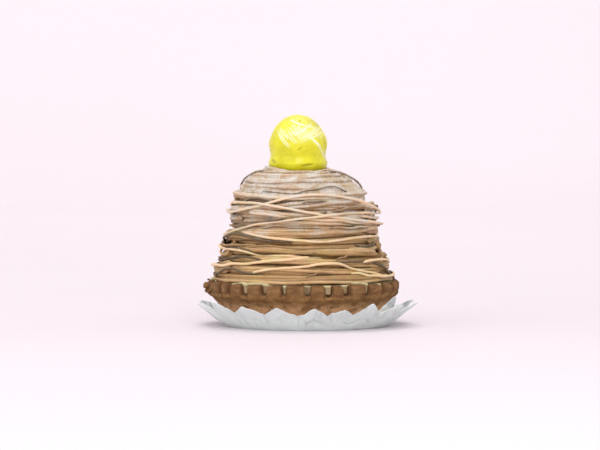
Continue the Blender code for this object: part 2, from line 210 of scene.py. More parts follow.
# Each laid strand is a bundle of thinner ones, as a nozzle with several holes leaves them
BUNDLE_COUNT = 3
BUNDLE_REACH = 0.70 * MM
BUNDLE_RADII = (0.68 * MM, 0.98 * MM)
BUNDLE_TWIST = 90 * MM

# Single threads over the bundles, read off the photo: points from left to right as (x, height) in mm
# as seen from the front. The numbers beside the points say how much a thread's height changes where it is
# carried on past that end, and None that it ends there.
THREAD_SEAT = 0.5 * MM
THREAD_BLUR = 5
THREAD_POINTS = 110
DRAPE_SINK = 0.15 * MM
PALE_THREAD_RADIUS = 0.53 * MM
PALE_TONE = 1.02
PALE_THREADS = [
    (-0.4, [(-26.7, 45.1), (-15.3, 47.9), (-9.1, 49.6), (-1.5, 51.0), (11.5, 51.6), (17.8, 50.6),
            (23.3, 49.2), (28.1, 46.5)], -1.3),
    (-0.4, [(-27.0, 48.9), (-13.9, 48.2), (-1.5, 45.8), (8.8, 43.4), (15.7, 42.7), (28.8, 40.6)], -0.9),
    (-1.0, [(-28.7, 36.8), (-22.2, 39.9), (-11.9, 41.3), (-1.5, 42.0), (8.8, 43.4), (15.7, 44.3),
            (26.0, 44.8)], -0.5),
    (None, [(-25.6, 37.2), (-18.8, 35.8), (-10.5, 34.8), (-2.2, 33.7), (6.7, 33.0), (15.7, 34.1),
            (22.6, 35.5), (27.4, 35.5)], -0.5),
    (0.5, [(-30.5, 30.6), (-21.5, 28.9), (-9.1, 28.2), (1.9, 27.5), (8.8, 27.9)], None),
    (-0.9, [(-32.5, 23.7), (-22.2, 24.8), (-9.1, 25.8), (-0.9, 27.2), (2.6, 27.5)], None),
    (None, [(-21.5, 21.7), (-9.1, 22.7), (5.3, 23.7), (12.9, 24.1), (19.8, 23.7), (26.0, 21.7),
            (32.9, 19.6)], -1.2),
    (None, [(19.8, 21.7), (28.1, 19.9), (35.0, 18.8)], None),
]
# The dark threads are near-black paste laid along lines of shadow below the pale threads and in gaps: painted
# shade
SHADE_LINE_RADIUS = 0.50 * MM
SHADE_LINE_TONE = -0.02
SHADE_LINE_THREADS = [
    (-0.6, [(-26.0, 48.9), (-22.2, 49.9), (-16.0, 49.9), (-9.1, 48.9)], None),
    (None, [(-0.9, 48.5), (5.3, 49.1), (10.2, 48.9)], None),
    (None, [(12.2, 44.8), (16.4, 46.5), (21.2, 47.2), (26.7, 46.3)], -0.4),
    (-0.3, [(-27.0, 41.0), (-18.8, 41.3), (-9.1, 42.3), (-1.5, 42.7), (6.0, 44.1), (10.2, 45.0)], None),
    (None, [(-30.8, 34.2), (-25.6, 36.5), (-20.8, 35.3), (-14.6, 33.4), (-9.1, 32.7), (-3.6, 33.0)], None),
    (-0.7, [(-29.8, 26.8), (-25.6, 27.5), (-20.8, 26.1), (-16.0, 26.1)], None),
    (-0.8, [(-34.3, 20.6), (-31.2, 22.4), (-26.3, 22.0), (-21.5, 21.0), (-16.0, 21.0)], None),
    (None, [(7.4, 24.3), (15.7, 24.8), (22.6, 24.8), (29.5, 24.5), (32.9, 22.3), (36.8, 19.4)], None),
    (None, [(22.3, 32.3), (26.7, 31.3), (29.5, 33.2)], None),
]
# Some brown threads, the one under the sugared crown and the one near 39 mm on the right, lie along lines of
# shadow: painted shade
BROWN_THREAD_RADIUS = 0.42 * MM
BROWN_TONE = 0.22
BROWN_THREADS = [
    (None, [(-16.7, 53.7), (-9.1, 53.4), (-2.2, 52.7), (5.3, 54.0), (11.5, 55.4), (19.1, 53.7)], None),
    (None, [(11.5, 25.7), (15.7, 26.8), (18.4, 28.0)], None),
    (None, [(0.5, 19.6), (4.0, 20.0), (6.7, 21.0), (12.9, 21.3)], None),
    (None, [(11.5, 38.9), (19.8, 38.9), (26.0, 39.6)], None),
    (None, [(-9.1, 27.9), (-0.9, 28.6), (6.0, 28.9)], None),
    (None, [(-18.8, 38.9), (-10.5, 39.6), (-0.9, 38.9), (8.8, 38.9)], None),
    (None, [(-22.9, 31.3), (-12.9, 31.6), (-1.9, 30.6), (9.5, 30.6), (19.8, 31.5)], None),
]
THREAD_STAND = 4.0

# How many evenly spaced heights a thread has, for one that spans less than so many degrees
THREAD_KNOTS = [(40, 3), (82, 4), (360, 6)]

# Threads behind: how many, then ranges of their middles, half spans, heights, rises and bows
BACK_THREADS = 9
BACK_MIDDLES = (105, 255)
BACK_HALF_SPANS = (30, 85)
BACK_HEIGHTS = (22, 49)
BACK_RISES = (-7, 7)
THREAD_WANDER = (-2, 2)

# A thread that ends past this azimuth is carried on round the side by so many degrees
THREAD_SIDE = 78
THREAD_CARRIED = (8, 62)

# Thin strands that slant from the crown down over its shoulders: first and last azimuth, last height in mm
SHOULDER_THREADS = [(44, 116, 50.6), (-50, -120, 51.0), (142, 216, 51.4)]
SHOULDER_START_RADIUS = 13.0 * MM

# The cream's low lip round the chestnut's foot, and its last thin turn on the rim
NEST_RADIUS = 12.7 * MM
NEST_HEIGHT = 62.0 * MM
FOOT_RADIUS = 35.0 * MM
FOOT_HEIGHT = 18.95 * MM
LIP_REACH = 0.5 * MM
LIP_RADII = (0.55 * MM, 0.75 * MM)
LIP_NORMAL = (0.5, 0.866)
FOOT_TURN_RADIUS = 0.75 * MM
FOOT_TURN_NORMAL = (0.8, 0.6)

# How pale each kind of cream is, from 0 to 1, and the seeds of the small unevennesses of each piece
CORE_TONE = 0.34
DRIFT_TONE = 0.40
SHOULDER_TONE = 0.24
FOOT_TONE = 0.66
UNDER_SEED = 500
BUNDLE_SEED = 600
LIP_BUNDLE_SEED = 620
STRAND_SEED = 640
SEED_STEP = 40
PALE_SEED = 800
SHADE_LINE_SEED = 850
BROWN_SEED = 880
LIP_SEED = 930
CORE_ROWS = 40
CORE_COLUMNS = 120

# Soft cream and sugar that fill the hollows between the crown's strands
DRIFT_BOTTOM = 47.0 * MM
DRIFT_FULL = 52.5 * MM
DRIFT_END_RADIUS = 9.5 * MM
DRIFT_RISE = -0.05 * MM
DRIFT_BLUR = 3.0 * MM
MEASURE_FROM = 12.0 * MM

STRAND_SIDES = 10
STRAND_SPACING = 0.62 * MM
UNDER_SPACING = 1.4 * MM
THREAD_SPACING = 0.5 * MM
NICK_GAP = (4 * MM, 14 * MM)
LIP_NICK_GAP = (1.0 * MM, 3.2 * MM)
END_TRIM = 5 * MM
END_SINK = 2.6 * MM
END_SINK_REACH = 4.5 * MM

# Candied chestnut: its upright outline as (radius, height)
CHESTNUT_OUTLINE = [
    (0.0, 84.2 * MM),
    (4.4 * MM, 83.0 * MM),
    (7.9 * MM, 80.4 * MM),
    (10.2 * MM, 76.8 * MM),
    (11.7 * MM, 72.4 * MM),
    (11.0 * MM, 67.6 * MM),
    (11.7 * MM, 64.7 * MM),
    (10.2 * MM, 62.1 * MM),
    (7.2 * MM, 60.6 * MM),
    (0.0, 60.6 * MM),
]
CHESTNUT_DEPTH_SHARE = 0.94
CHESTNUT_MIDDLE = 71.0 * MM
CHESTNUT_COLUMNS = 330
CHESTNUT_ROWS = 200

# Marks on the chestnut, in mm as seen from the front: from (x, height) to (x, height), and half width.
# Pale streaks in crossing sets are a painted highlight, each (count, first streak, last streak, half width).
HIGHLIGHT_STREAK_SETS = [
    (13, (-9.2, 78.2, -4.4, 71.2), (-0.5, 81.2, 3.8, 76.2), 0.18),
    (8, (-4.6, 76.0, 6.2, 81.2), (1.0, 73.6, 9.2, 77.2), 0.20),
    (5, (5.0, 79.0, 9.2, 73.4), (7.6, 80.0, 10.6, 75.2), 0.16),
]
# Single broad pale strokes, also painted highlight
HIGHLIGHT_STROKES = [
    (-3.2, 82.2, 8.0, 78.2, 0.30),
    (2.6, 77.6, 9.6, 70.3, 0.50),
    (9.4, 70.6, 11.3, 66.4, 0.35),
]

# Behind, each set of the same painted highlight streaks is (count, azimuth, height, slant in degrees)
HIGHLIGHT_STREAKS_BEHIND = [
    (7, 106, 76.6, -50),
    (8, 143, 75.4, -38),
    (7, 182, 76.8, -52),
    (8, 219, 75.6, -40),
    (6, 256, 76.2, -48),
]
HIGHLIGHT_STREAK_GAP = 0.95 * MM
HIGHLIGHT_STREAK_RISE = 0.08 * MM
HIGHLIGHT_STREAK_SEED = 5
HOLLOWS = [
    (0.4, 81.2, 0.9, 82.2, 0.40),
    (-0.2, 70.0, 1.8, 71.5, 0.15),
    (1.4, 63.8, 6.4, 64.6, 0.40),
    (-11.0, 66.2, -9.2, 64.8, 0.50),
    (10.1, 75.4, 11.2, 70.0, 0.40),
    (7.4, 80.6, 8.4, 79.3, 0.40),
]
HOLLOW_DEPTH = 0.35 * MM
SWIRL = (-3.4, 66.8, 2.6)

# A broad, faint painted highlight over the upper middle: (x, height, half width, half height) in mm, and how
# much
HIGHLIGHT_HAZE = (1.2, 77.4, 6.2, 3.4, 0.30)
MARK_ARC_RADIUS = 11.0 * MM

# Fine sugar, and crumbs of crust
SUGAR_GRAINS = 4200
GRAIN_RADIUS = (0.07 * MM, 0.16 * MM)
SUGAR_END_RADIUS = 9.0 * MM
SUGAR_SEED = 97
CRUMB_SEED = 113
RIM_FLAKES = 26
RIM_CRUMBS = 46
CASE_CRUMBS = 10
CRUMB_SEAT = 0.85

# Colours; ramps have stops of (position, colour)
PASTE_COLOURS = [
    (0.0, (0.115, 0.081, 0.045)),
    (0.24, (0.300, 0.185, 0.083)),
    (0.50, (0.42, 0.264, 0.116)),
    (0.72, (0.54, 0.365, 0.185)),
    (1.0, (0.765, 0.575, 0.37)),
]
OLIVE_TINT = (0.92, 1.03, 0.80)
RUDDY_TINT = (1.04, 0.86, 0.72)
SPECK_COLOUR = (0.15, 0.08, 0.035)
SUGARED_COLOUR = (0.60, 0.55, 0.50)
CRUST_COLOURS = [(0.36, (0.165, 0.074, 0.024)), (0.48, (0.240, 0.115, 0.037)), (0.62, (0.355, 0.186, 0.071))]
RIM_SHADE_TINT = (0.76, 0.75, 0.75)
UNDERSIDE_RED_AND_LIT_COLOUR = (0.88, 0.50, 0.27)
EDGE_COLOUR = (0.135, 0.061, 0.022)
FLOUR_COLOUR = (0.46, 0.28, 0.14)
FILLING_COLOURS = ((0.46, 0.37, 0.18), (0.66, 0.57, 0.33))
BROWNED_COLOURS = ((0.22, 0.135, 0.06), (0.38, 0.265, 0.135))
FOIL_COLOURS = ((0.84, 0.915, 0.88), (0.90, 0.975, 0.935))
CREASE_SHADE_COLOUR = (0.34, 0.37, 0.38)
# Painted shade on the foil's upper wall, and in patches inside its petals
PETAL_SHADE_TINT = (0.89, 0.89, 0.90)
INSIDE_SHADE_TINT = (0.56, 0.59, 0.63)
CHESTNUT_COLOURS = [(0.30, (0.63, 0.58, 0.012)), (0.55, (0.73, 0.685, 0.020)), (0.75, (0.75, 0.72, 0.030))]
# Dark marks in the chestnut's dents, also used as painted shade in its folds and at its foot
MARK_AND_SHADE_COLOUR = (0.34, 0.32, 0.008)
# The pale colour of the chestnut's painted highlight
HIGHLIGHT_COLOUR = (0.95, 0.94, 0.80)
SUGAR_COLOURS = ((0.84, 0.81, 0.79), (0.93, 0.92, 0.91))
FLOOR_COLOURS = ((0.68, 0.62, 0.655), (0.70, 0.64, 0.675))

# Camera: the photograph's frame is 240 mm wide at the cake
VIEW_ELEVATION = math.radians(2.6)
VIEW_DISTANCE = 1.4
VIEW_WIDTH = 0.24
VIEW_CENTRE = Vector((-2.8 * MM, 0.0, 40.0 * MM))
SENSOR = 36.0

# One strand to be made: its centre line with normals, whether it closes, and its looks
Strand = namedtuple("Strand", "line closed radius tone")


def noise(points, cell, seed):
    """Smooth noise from -1 to 1 at each point, with features about one cell across."""
    at = points / cell + 0.37 * seed
    base = np.floor(at).astype(np.int64)
    share = at - base
    share = share * share * (3 - 2 * share)
    total = np.zeros(len(at))
    for corner in np.ndindex(2, 2, 2):
        x, y, z = (base + corner).T
        mixed = (x * 73856093) ^ (y * 19349663) ^ (z * 83492791) ^ (seed * 49979687)
        mixed = ((mixed ^ (mixed >> 13)) * 1274126177) & 0xFFFFFFFF
        value = ((mixed ^ (mixed >> 16)) & 0xFFFF) / 32767.5 - 1
        total += value * np.prod(np.where(corner, share, 1 - share), axis=1)
    return total


def rough(points, cell, seed, octaves=3):
    """Noise with finer and fainter layers."""
    return sum(noise(points, cell / 2**i, seed + i) / 2**i for i in range(octaves))


def smooth_step(low, high, value):
    share = np.clip((value - low) / (high - low), 0, 1)
    return share * share * (3 - 2 * share)


def smooth_line(points, count):
    """Evenly spaced points on a smooth curve through the given ones; columns past the third ride along."""
    known = np.array(points, float)
    ends = np.vstack([2 * known[0] - known[1], known, 2 * known[-1] - known[-2]])
    share = np.linspace(0, 1, 24, endpoint=False)[:, None]
    line = []
    for a, b, c, d in zip(ends, ends[1:], ends[2:], ends[3:]):
        line.append(
            0.5 * (2 * b + (c - a) * share + (2 * a - 5 * b + 4 * c - d) * share**2
                   + (3 * b - a - 3 * c + d) * share**3)
        )
    line = np.vstack([*line, known[-1]])
    run = np.concatenate([[0], np.cumsum(np.linalg.norm(np.diff(line[:, :3], axis=0), axis=1))])
    wanted = np.linspace(0, run[-1], count)
    return np.column_stack([np.interp(wanted, run, line[:, i]) for i in range(line.shape[1])])


def straight_line(points, step):
    """Points along straight runs between the given ones, about one step apart."""
    line = [np.array(points[0], float)]
    for a, b in zip(points, points[1:]):
        a, b = np.array(a, float), np.array(b, float)
        count = max(1, round(np.linalg.norm(b - a) / step))
        line += [a + (b - a) * (i + 1) / count for i in range(count)]
    return np.array(line)


def around(azimuth, radius, height, centre_x=0.0):
    """Points at (azimuth, radius, height) about the upright axis through centre_x."""
    place = np.broadcast_arrays(centre_x + radius * np.sin(azimuth), -radius * np.cos(azimuth), height)
    return np.stack(place, axis=-1)


def turned(profile, columns):
    """An outline of (radius, height) turned about the axis: azimuths, and grids of radius and height."""
    level = np.zeros((1, columns))
    return TURN * np.arange(columns) / columns, profile[:, :1] + level, profile[:, 1:] + level


def quads(rows, columns, wrap_rows=False):
    """The faces of a grid of points that closes round its columns."""
    last = rows if wrap_rows else rows - 1
    row, column = np.meshgrid(np.arange(last), np.arange(columns), indexing="ij")
    down, right = (row + 1) % rows, (column + 1) % columns
    corners = [row * columns + column, row * columns + right, down * columns + right, down * columns + column]
    return np.stack(corners, axis=-1).reshape(-1, 4).tolist()


def make_mesh(name, points, faces, values=None):
    """A smooth-shaded mesh, with named values stored at its points."""
    mesh = bpy.data.meshes.new(name)
    mesh.from_pydata(points.tolist(), [], faces)
    for key, numbers in (values or {}).items():
        mesh.attributes.new(key, "FLOAT", "POINT").data.foreach_set("value", numbers.astype(np.float32))
    mesh.shade_smooth()
    return mesh


def mend(mesh, weld):
    """Turns all faces outwards, and can first merge the doubled points on a turned shape's axis."""
    form = bmesh.new()
    form.from_mesh(mesh)
    if weld:
        bmesh.ops.remove_doubles(form, verts=form.verts, dist=WELD_DISTANCE)
    bmesh.ops.recalc_face_normals(form, faces=form.faces)
    form.to_mesh(mesh)
    form.free()


def put_in(name, data):
    """A new object in the scene."""
    made = bpy.data.objects.new(name, data)
    bpy.context.scene.collection.objects.link(made)
    return made


def add_piece(name, points, faces, look, slot, *nodes, weld=False, **values):
    """Puts a piece in the scene, on the part's one body, standing for the given nodes."""
    mesh = make_mesh(name, points, faces, values)
    mend(mesh, weld)
    mesh.materials.append(look)
    piece = put_in(name, mesh)
    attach(piece, BODY)
    if nodes:
        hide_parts(*nodes)
    return piece


class Look:
    """A material with one Principled shader, and short calls for its nodes."""

    def __init__(self, name, **values):
        self.material = bpy.data.materials.new(name)
        self.material.use_nodes = True
        self.nodes = self.material.node_tree.nodes
        self.links = self.material.node_tree.links
        self.shader = self.nodes["Principled BSDF"]
        self.place = self.add("ShaderNodeTexCoord").outputs["Object"]
        for key, value in values.items():
            self.put(self.shader.inputs[key.replace("_", " ").title().replace("Ior", "IOR")], value)

    def put(self, socket, value):
        if isinstance(value, bpy.types.NodeSocket):
            self.links.new(value, socket)
        elif socket.type == "RGBA":
            socket.default_value = (*value, 1.0)
        else:
            socket.default_value = value

    def add(self, kind, inputs=None, **settings):
        node = self.nodes.new(kind)
        for key, value in settings.items():
            setattr(node, key, value)
        for key, value in (inputs or {}).items():
            self.put(node.inputs[key], value)
        return node

    def noise(self, cell, detail=3.0, place=None, roughness=0.55):
        inputs = {"Vector": place or self.place, "Scale": 1 / cell, "Detail": detail, "Roughness": roughness}
        return self.add("ShaderNodeTexNoise", inputs).outputs["Fac"]

    def math(self, operation, first, second=0.0, third=0.0, clamp=False):
        inputs = {0: first, 1: second, 2: third}
        return self.add("ShaderNodeMath", inputs, operation=operation, use_clamp=clamp).outputs[0]

    def times(self, first, second, clamp=False):
        return self.math("MULTIPLY", first, second, clamp=clamp)

    def scaled(self, value, factor, offset):
        return self.math("MULTIPLY_ADD", value, factor, offset)

    def ramp(self, value, *stops):
        """A colour or grey ramp; each stop is (position, colour or grey)."""
        node = self.add("ShaderNodeValToRGB", {"Fac": value})
        band = node.color_ramp.elements
        while len(band) < len(stops):
            band.new(0.5)
        for element, (position, colour) in zip(band, stops):
            element.position = position
            element.color = (*colour, 1.0) if isinstance(colour, tuple) else (colour, colour, colour, 1.0)
        return node.outputs["Color"]

    def mix(self, share, first, second, blend="MIX"):
        node = self.add("ShaderNodeMix", data_type="RGBA", blend_type=blend)
        self.put(node.inputs["Factor"], share)
        self.put(node.inputs[6], first)
        self.put(node.inputs[7], second)
        return node.outputs[2]

    def tint(self, base, colour, share):
        """The base colour multiplied by another, by a share."""
        return self.mix(share, base, colour, "MULTIPLY")

    def mottle(self, cell, first, second, detail=3.0):
        """Noise that runs from one colour or grey to another."""
        return self.ramp(self.noise(cell, detail), (0.3, first), (0.7, second))

    def patches(self, cell, low, high, detail=3.0):
        """Soft-edged patches of noise, from 0 to 1."""
        return self.between(self.noise(cell, detail), low, high)

    def cells(self, size):
        """How far a point lies from the middle of its cell."""
        inputs = {"Vector": self.place, "Scale": 1 / size}
        return self.add("ShaderNodeTexVoronoi", inputs).outputs["Distance"]

    def value(self, name):
        return self.add("ShaderNodeAttribute", attribute_name=name).outputs["Fac"]

    def height(self):
        return self.add("ShaderNodeSeparateXYZ", {0: self.place}).outputs["Z"]

    def facing_up(self):
        normal = self.add("ShaderNodeNewGeometry").outputs["Normal"]
        return self.add("ShaderNodeSeparateXYZ", {0: normal}).outputs["Z"]

    def facing_out(self):
        """How far the surface faces away from the upright axis, from -1 to 1."""
        level = {0: self.place, 1: (1.0, 1.0, 0.0)}
        away = self.add("ShaderNodeVectorMath", level, operation="MULTIPLY").outputs["Vector"]
        away = self.add("ShaderNodeVectorMath", {0: away}, operation="NORMALIZE").outputs["Vector"]
        both = {0: away, 1: self.add("ShaderNodeNewGeometry").outputs["Normal"]}
        return self.add("ShaderNodeVectorMath", both, operation="DOT_PRODUCT").outputs["Value"]

    def between(self, value, low, high):
        inputs = {"Value": value, "From Min": low, "From Max": high}
        node = self.add("ShaderNodeMapRange", inputs, interpolation_type="SMOOTHSTEP")
        return node.outputs["Result"]

    def finish(self, colour, roughness=None, *relief):
        """Sets the colour, the roughness and the relief, whose layers are (value, depth in metres)."""
        self.put(self.shader.inputs["Base Color"], colour)
        if roughness:
            self.put(self.shader.inputs["Roughness"], roughness)
        normal = None
        for value, depth in relief:
            node = self.add("ShaderNodeBump", {"Height": value, "Distance": depth, "Strength": 1.0})
            if normal:
                self.put(node.inputs["Normal"], normal)
            normal = node.outputs["Normal"]
        if normal:
            self.put(self.shader.inputs["Normal"], normal)
        return self.material


def sugar_cover(look):
    """How much of a surface the fine sugar hides: most on top, in slanted wisps, less down the mound."""
    wavering = look.scaled(look.noise(12 * MM, 2.0), 8 * MM, look.height())
    high = look.between(wavering, 39 * MM, 47 * MM)
    up = look.between(look.facing_up(), -1.2, 0.45)
    # Low tones take little sugar, the threads of painted shade among them
    bare = look.between(look.value("tone"), -0.15, 0.30)
    slant = {"Vector": look.place, "Rotation": (0.0, math.radians(-40), 0.0), "Scale": (1.0, 1.0, 0.14)}
    wisps = look.noise(0.9 * MM, 3.0, look.add("ShaderNodeMapping", slant).outputs["Vector"])
    patchy = look.times(look.patches(6 * MM, 0.40, 0.60, 4.0), 0.54)
    patchy = look.math("ADD", patchy, look.scaled(look.between(wisps, 0.42, 0.60), 0.38, 0.19))
    fine = look.patches(0.45 * MM, 0.35, 0.65, 2.0)
    cover = look.times(look.times(high, up), look.times(patchy, bare))
    return look.times(cover, look.scaled(fine, 0.25, 0.75), clamp=True)


def cream_look():
    """Chestnut paste: each strand its own tan, paler in a band at mid height and, as painted light, on upward
    faces, with a dusting of fine sugar towards the top.
    """
    look = Look(
        "chestnut_cream_finish", subsurface_weight=0.16, subsurface_scale=1.8 * MM,
        subsurface_radius=(1.0, 0.55, 0.3),
    )
    mottled = look.scaled(look.noise(2.6 * MM, 2.0), 0.28, -0.14)
    # A paler band at mid height; and painted light: upward faces paler
    paler_band_and_top_light = look.between(look.height(), 34 * MM, 42 * MM)
    paler_band_and_top_light = look.scaled(look.between(look.height(), 48 * MM, 56 * MM), -1.8, paler_band_and_top_light)
    paler_band_and_top_light = look.scaled(paler_band_and_top_light, 0.16, look.times(look.facing_up(), 0.10))
    tone = look.math("ADD", look.math("ADD", look.value("tone"), mottled), paler_band_and_top_light, clamp=True)
    paste = look.ramp(tone, *PASTE_COLOURS)
    paste = look.tint(paste, OLIVE_TINT, look.times(look.patches(9 * MM, 0.46, 0.64, 2.0), 0.6))
    paste = look.tint(paste, RUDDY_TINT, look.times(look.patches(6 * MM, 0.60, 0.50), 0.45))
    paste = look.mix(look.times(look.patches(0.35 * MM, 0.60, 0.72, 2.0), 0.18), paste, SPECK_COLOUR)
    relief = [(look.noise(0.9 * MM), 0.07 * MM), (look.noise(0.25 * MM, 2.0), 0.02 * MM)]
    sugared = look.mix(sugar_cover(look), paste, SUGARED_COLOUR)
    return look.finish(sugared, look.mottle(1.2 * MM, 0.50, 0.72), *relief)


def crust_look():
    """Dark-baked short pastry, redder and lighter underneath, partly as painted light, its rim blocks darker
    as painted shade, darkest along its edges.
    """
    look = Look("tart_crust_finish", specular_ior_level=0.3)
    level = look.add("ShaderNodeMapping", {"Vector": look.place, "Scale": (0.3, 0.3, 1.4)}).outputs["Vector"]
    blotch = look.times(look.noise(5 * MM, 5.0, roughness=0.66), 0.5)
    blotch = look.math("ADD", blotch, look.times(look.noise(1.8 * MM, 4.0, level), 0.5))
    baked = look.ramp(blotch, *CRUST_COLOURS)
    # Painted shade: the rim blocks darkened against the light they catch
    baked = look.tint(baked, RIM_SHADE_TINT, look.between(look.height(), 12.5 * MM, 15.0 * MM))
    # Lower down and on downward faces, redder and paler: partly the crust's own colour, partly painted light
    # in the shade under the rim
    low = look.between(look.height(), 11.5 * MM, 7.5 * MM)
    under = look.times(low, look.between(look.facing_up(), 0.0, -0.4))
    baked = look.mix(look.times(under, look.patches(4 * MM, 0.32, 0.56)), baked, UNDERSIDE_RED_AND_LIT_COLOUR)
    edge = look.times(look.value("edge"), look.ramp(look.noise(1.6 * MM), (0.3, 0.45), (0.55, 1.0)))
    baked = look.mix(edge, baked, EDGE_COLOUR)
    baked = look.mix(look.times(look.patches(0.6 * MM, 0.60, 0.76), 0.3), baked, FLOUR_COLOUR)
    relief = [
        (look.between(look.cells(1.3 * MM), 0.05, 0.40), 0.12 * MM),
        (look.noise(1.6 * MM, 6.0, roughness=0.65), 0.34 * MM),
        (look.noise(0.35 * MM), 0.10 * MM),
    ]
    return look.finish(baked, look.mottle(2 * MM, 0.68, 0.90), *relief)


def filling_look():
    """Pale, slightly crumbly filling, browned where the slots let the heat in."""
    look = Look("pale_filling_finish", subsurface_weight=0.1, subsurface_scale=1.0 * MM)
    pale = look.mottle(2 * MM, *FILLING_COLOURS, 4.0)
    brown = look.mottle(2 * MM, *BROWNED_COLOURS, 4.0)
    colour = look.mix(look.value("browned"), pale, brown)
    return look.finish(colour, look.mottle(1 * MM, 0.5, 0.75), (look.noise(0.6 * MM, 4.0), 0.10 * MM))


def foil_look():
    """Thin satin aluminium foil with fine creases; painted shade darkens the creases, the petals and patches
    inside them.
    """
    look = Look("foil_finish", metallic=0.4)
    silver = look.mottle(6 * MM, *FOIL_COLOURS)
    # Painted shade: darker along the creases and the fold under the petals
    silver = look.mix(look.times(look.value("crease"), 0.42), silver, CREASE_SHADE_COLOUR)
    high = look.between(look.height(), 2.5 * MM, 7.5 * MM)
    # Painted shade: the upper wall and petals darkened against the light they catch
    silver = look.tint(silver, PETAL_SHADE_TINT, high)
    # Painted shade: patches inside the petals darkened
    inside = look.between(look.facing_out(), 0.0, -0.35)
    shaded = look.times(look.times(inside, look.patches(3.5 * MM, 0.30, 0.56)), high)
    silver = look.tint(silver, INSIDE_SHADE_TINT, shaded)
    relief = [(look.cells(3.2 * MM), 0.12 * MM), (look.noise(1.1 * MM), 0.06 * MM)]
    return look.finish(silver, look.mottle(3 * MM, 0.28, 0.44), *relief)


def chestnut_look():
    """A yellow candied chestnut under a clear coat of syrup."""
    look = Look(
        "candied_chestnut_finish", subsurface_weight=0.10, subsurface_scale=1.2 * MM,
        subsurface_radius=(1.0, 0.8, 0.2), specular_ior_level=0.30, coat_weight=0.18, coat_roughness=0.28,
        coat_ior=1.45,
    )
    yellow = look.ramp(look.noise(6 * MM, 4.0), *CHESTNUT_COLOURS)
    # Darker olive in the dents as the chestnut's own marks, and in the folds' valleys and towards the foot as
    # painted shade
    yellow = look.mix(look.times(look.value("hollow"), 0.9, clamp=True), yellow, MARK_AND_SHADE_COLOUR)
    # Pale streaks and a faint haze over the upper middle are a painted highlight
    highlight_strength = look.scaled(look.patches(0.8 * MM, 0.30, 0.55), 0.38, 0.36)
    colour = look.mix(look.times(look.value("glaze"), highlight_strength, clamp=True), yellow, HIGHLIGHT_COLOUR)
    return look.finish(colour, look.mottle(2 * MM, 0.22, 0.38), (look.noise(1.5 * MM), 0.06 * MM))


def sugar_look():
    look = Look("fine_sugar_finish", roughness=0.6, subsurface_weight=0.3, subsurface_scale=0.3 * MM)
    return look.finish(look.mottle(2 * MM, *SUGAR_COLOURS))


def petals(rng, low, high):
    """One random value for each petal."""
    return np.array([rng.uniform(low, high) for _ in range(FOIL_PETALS)])


def petal_edge():
    """Each column's azimuth and phase, how far up the wall its edge lies, and how far its petal bends."""
    rng = random.Random(FOIL_SEED)
    tips = 1 + petals(rng, -FOIL_TIP_SPREAD, FOIL_TIP_SPREAD)
    deeper = petals(rng, -FOIL_VALLEY_SPREAD, FOIL_VALLEY_SPREAD)
    shifts = petals(rng, -FOIL_TIP_SHIFT, FOIL_TIP_SHIFT)
    bends = petals(rng, -1, 1)
    fullness = petals(rng, *FOIL_FULLNESS)
    columns = FOIL_PETALS * FOIL_COLUMNS_PER_PETAL
    phase = FOIL_PETALS * np.arange(columns) / columns
    before = np.floor(phase).astype(int)
    past = phase - before
    shift = shifts[before] * (1 - past) + shifts[(before + 1) % FOIL_PETALS] * past
    azimuth = TURN * (phase + shift) / FOIL_PETALS
    nearest = np.round(phase).astype(int) % FOIL_PETALS
    off_tip = np.minimum(past, 1 - past)
    to_tip = np.clip(1 - 2 * np.sqrt(off_tip**2 + 0.0005), 0, 1)
    valley = FOIL_VALLEY_SHARE + deeper[before]
    ragged = noise(around(azimuth, 30.0, 0.0), 1.0, 3)
    top = valley + (tips[nearest] - valley) * to_tip ** fullness[nearest] + 0.012 * ragged
    return azimuth, phase, top, bends[nearest] * to_tip


def foil_case(look):
    """The flared cup with its pointed petals, thin and lightly creased."""
    azimuth, phase, top, bend = petal_edge()
    columns = len(azimuth)
    wall = FOIL_TIP_RADIUS - FOIL_BASE_RADIUS
    rows, crease_shades = [], []
    for share in np.linspace(0, 1, FOIL_BASE_ROWS, endpoint=False):
        rows.append(around(azimuth, FOIL_BASE_RADIUS * share, 0.0))
        crease_shades.append(np.zeros(columns))
    pleat_place = around(azimuth, FOIL_PLEATS_AROUND, 0.0)
    for row in np.linspace(0, 1, FOIL_WALL_ROWS):
        share = row * top
        flute = FOIL_FLUTE * share * np.cos(TURN * phase)
        pleat_place[:, 2] = 2.2 * row
        pleat = 1 - 2 * np.abs(noise(pleat_place, 1.0, 11))
        crumple = noise(pleat_place * 0.45, 1.0, 17)
        slanted = pleat_place * 0.5 + 0.9 * row * np.sin(3 * azimuth)[:, None]
        crease = np.clip(1 - np.abs(noise(slanted, 1.0, 29)) / 0.16, 0, 1)
        low = np.abs(row - 0.45 - 0.05 * np.cos(TURN * phase)) / 0.09
        fold = np.clip(1 - low, 0, 1) * smooth_step(0.0, 0.35, noise(pleat_place * 0.3, 1.0, 43))
        radius = FOIL_BASE_RADIUS + wall * share + flute
        height = FOIL_TIP_HEIGHT * share * (0.85 + 0.15 * share)
        grow = smooth_step(0.0, 0.35, share)
        push = PLEAT_DEPTH * pleat + CRUMPLE_DEPTH * crumple - CREASE_DEPTH * crease - FOLD_DEPTH * fold
        push = push * grow + PETAL_BEND * bend * smooth_step(0.5, 1.0, share)
        rows.append(around(azimuth, radius + 0.6 * push, np.maximum(height - 0.8 * push, 0)))
        # The creases and the fold below the petals, kept for painted shade
        crease_shades.append(np.maximum(0.5 * crease, fold) * grow)
    piece = add_piece(
        "foil_case_skin", np.vstack(rows), quads(len(rows), columns), look, "foil", "foil_case",
        weld=True, crease=np.concatenate(crease_shades),
    )
    solid = piece.modifiers.new("foil", "SOLIDIFY")
    solid.thickness = FOIL_THICKNESS
    solid.offset = -1.0
    return piece


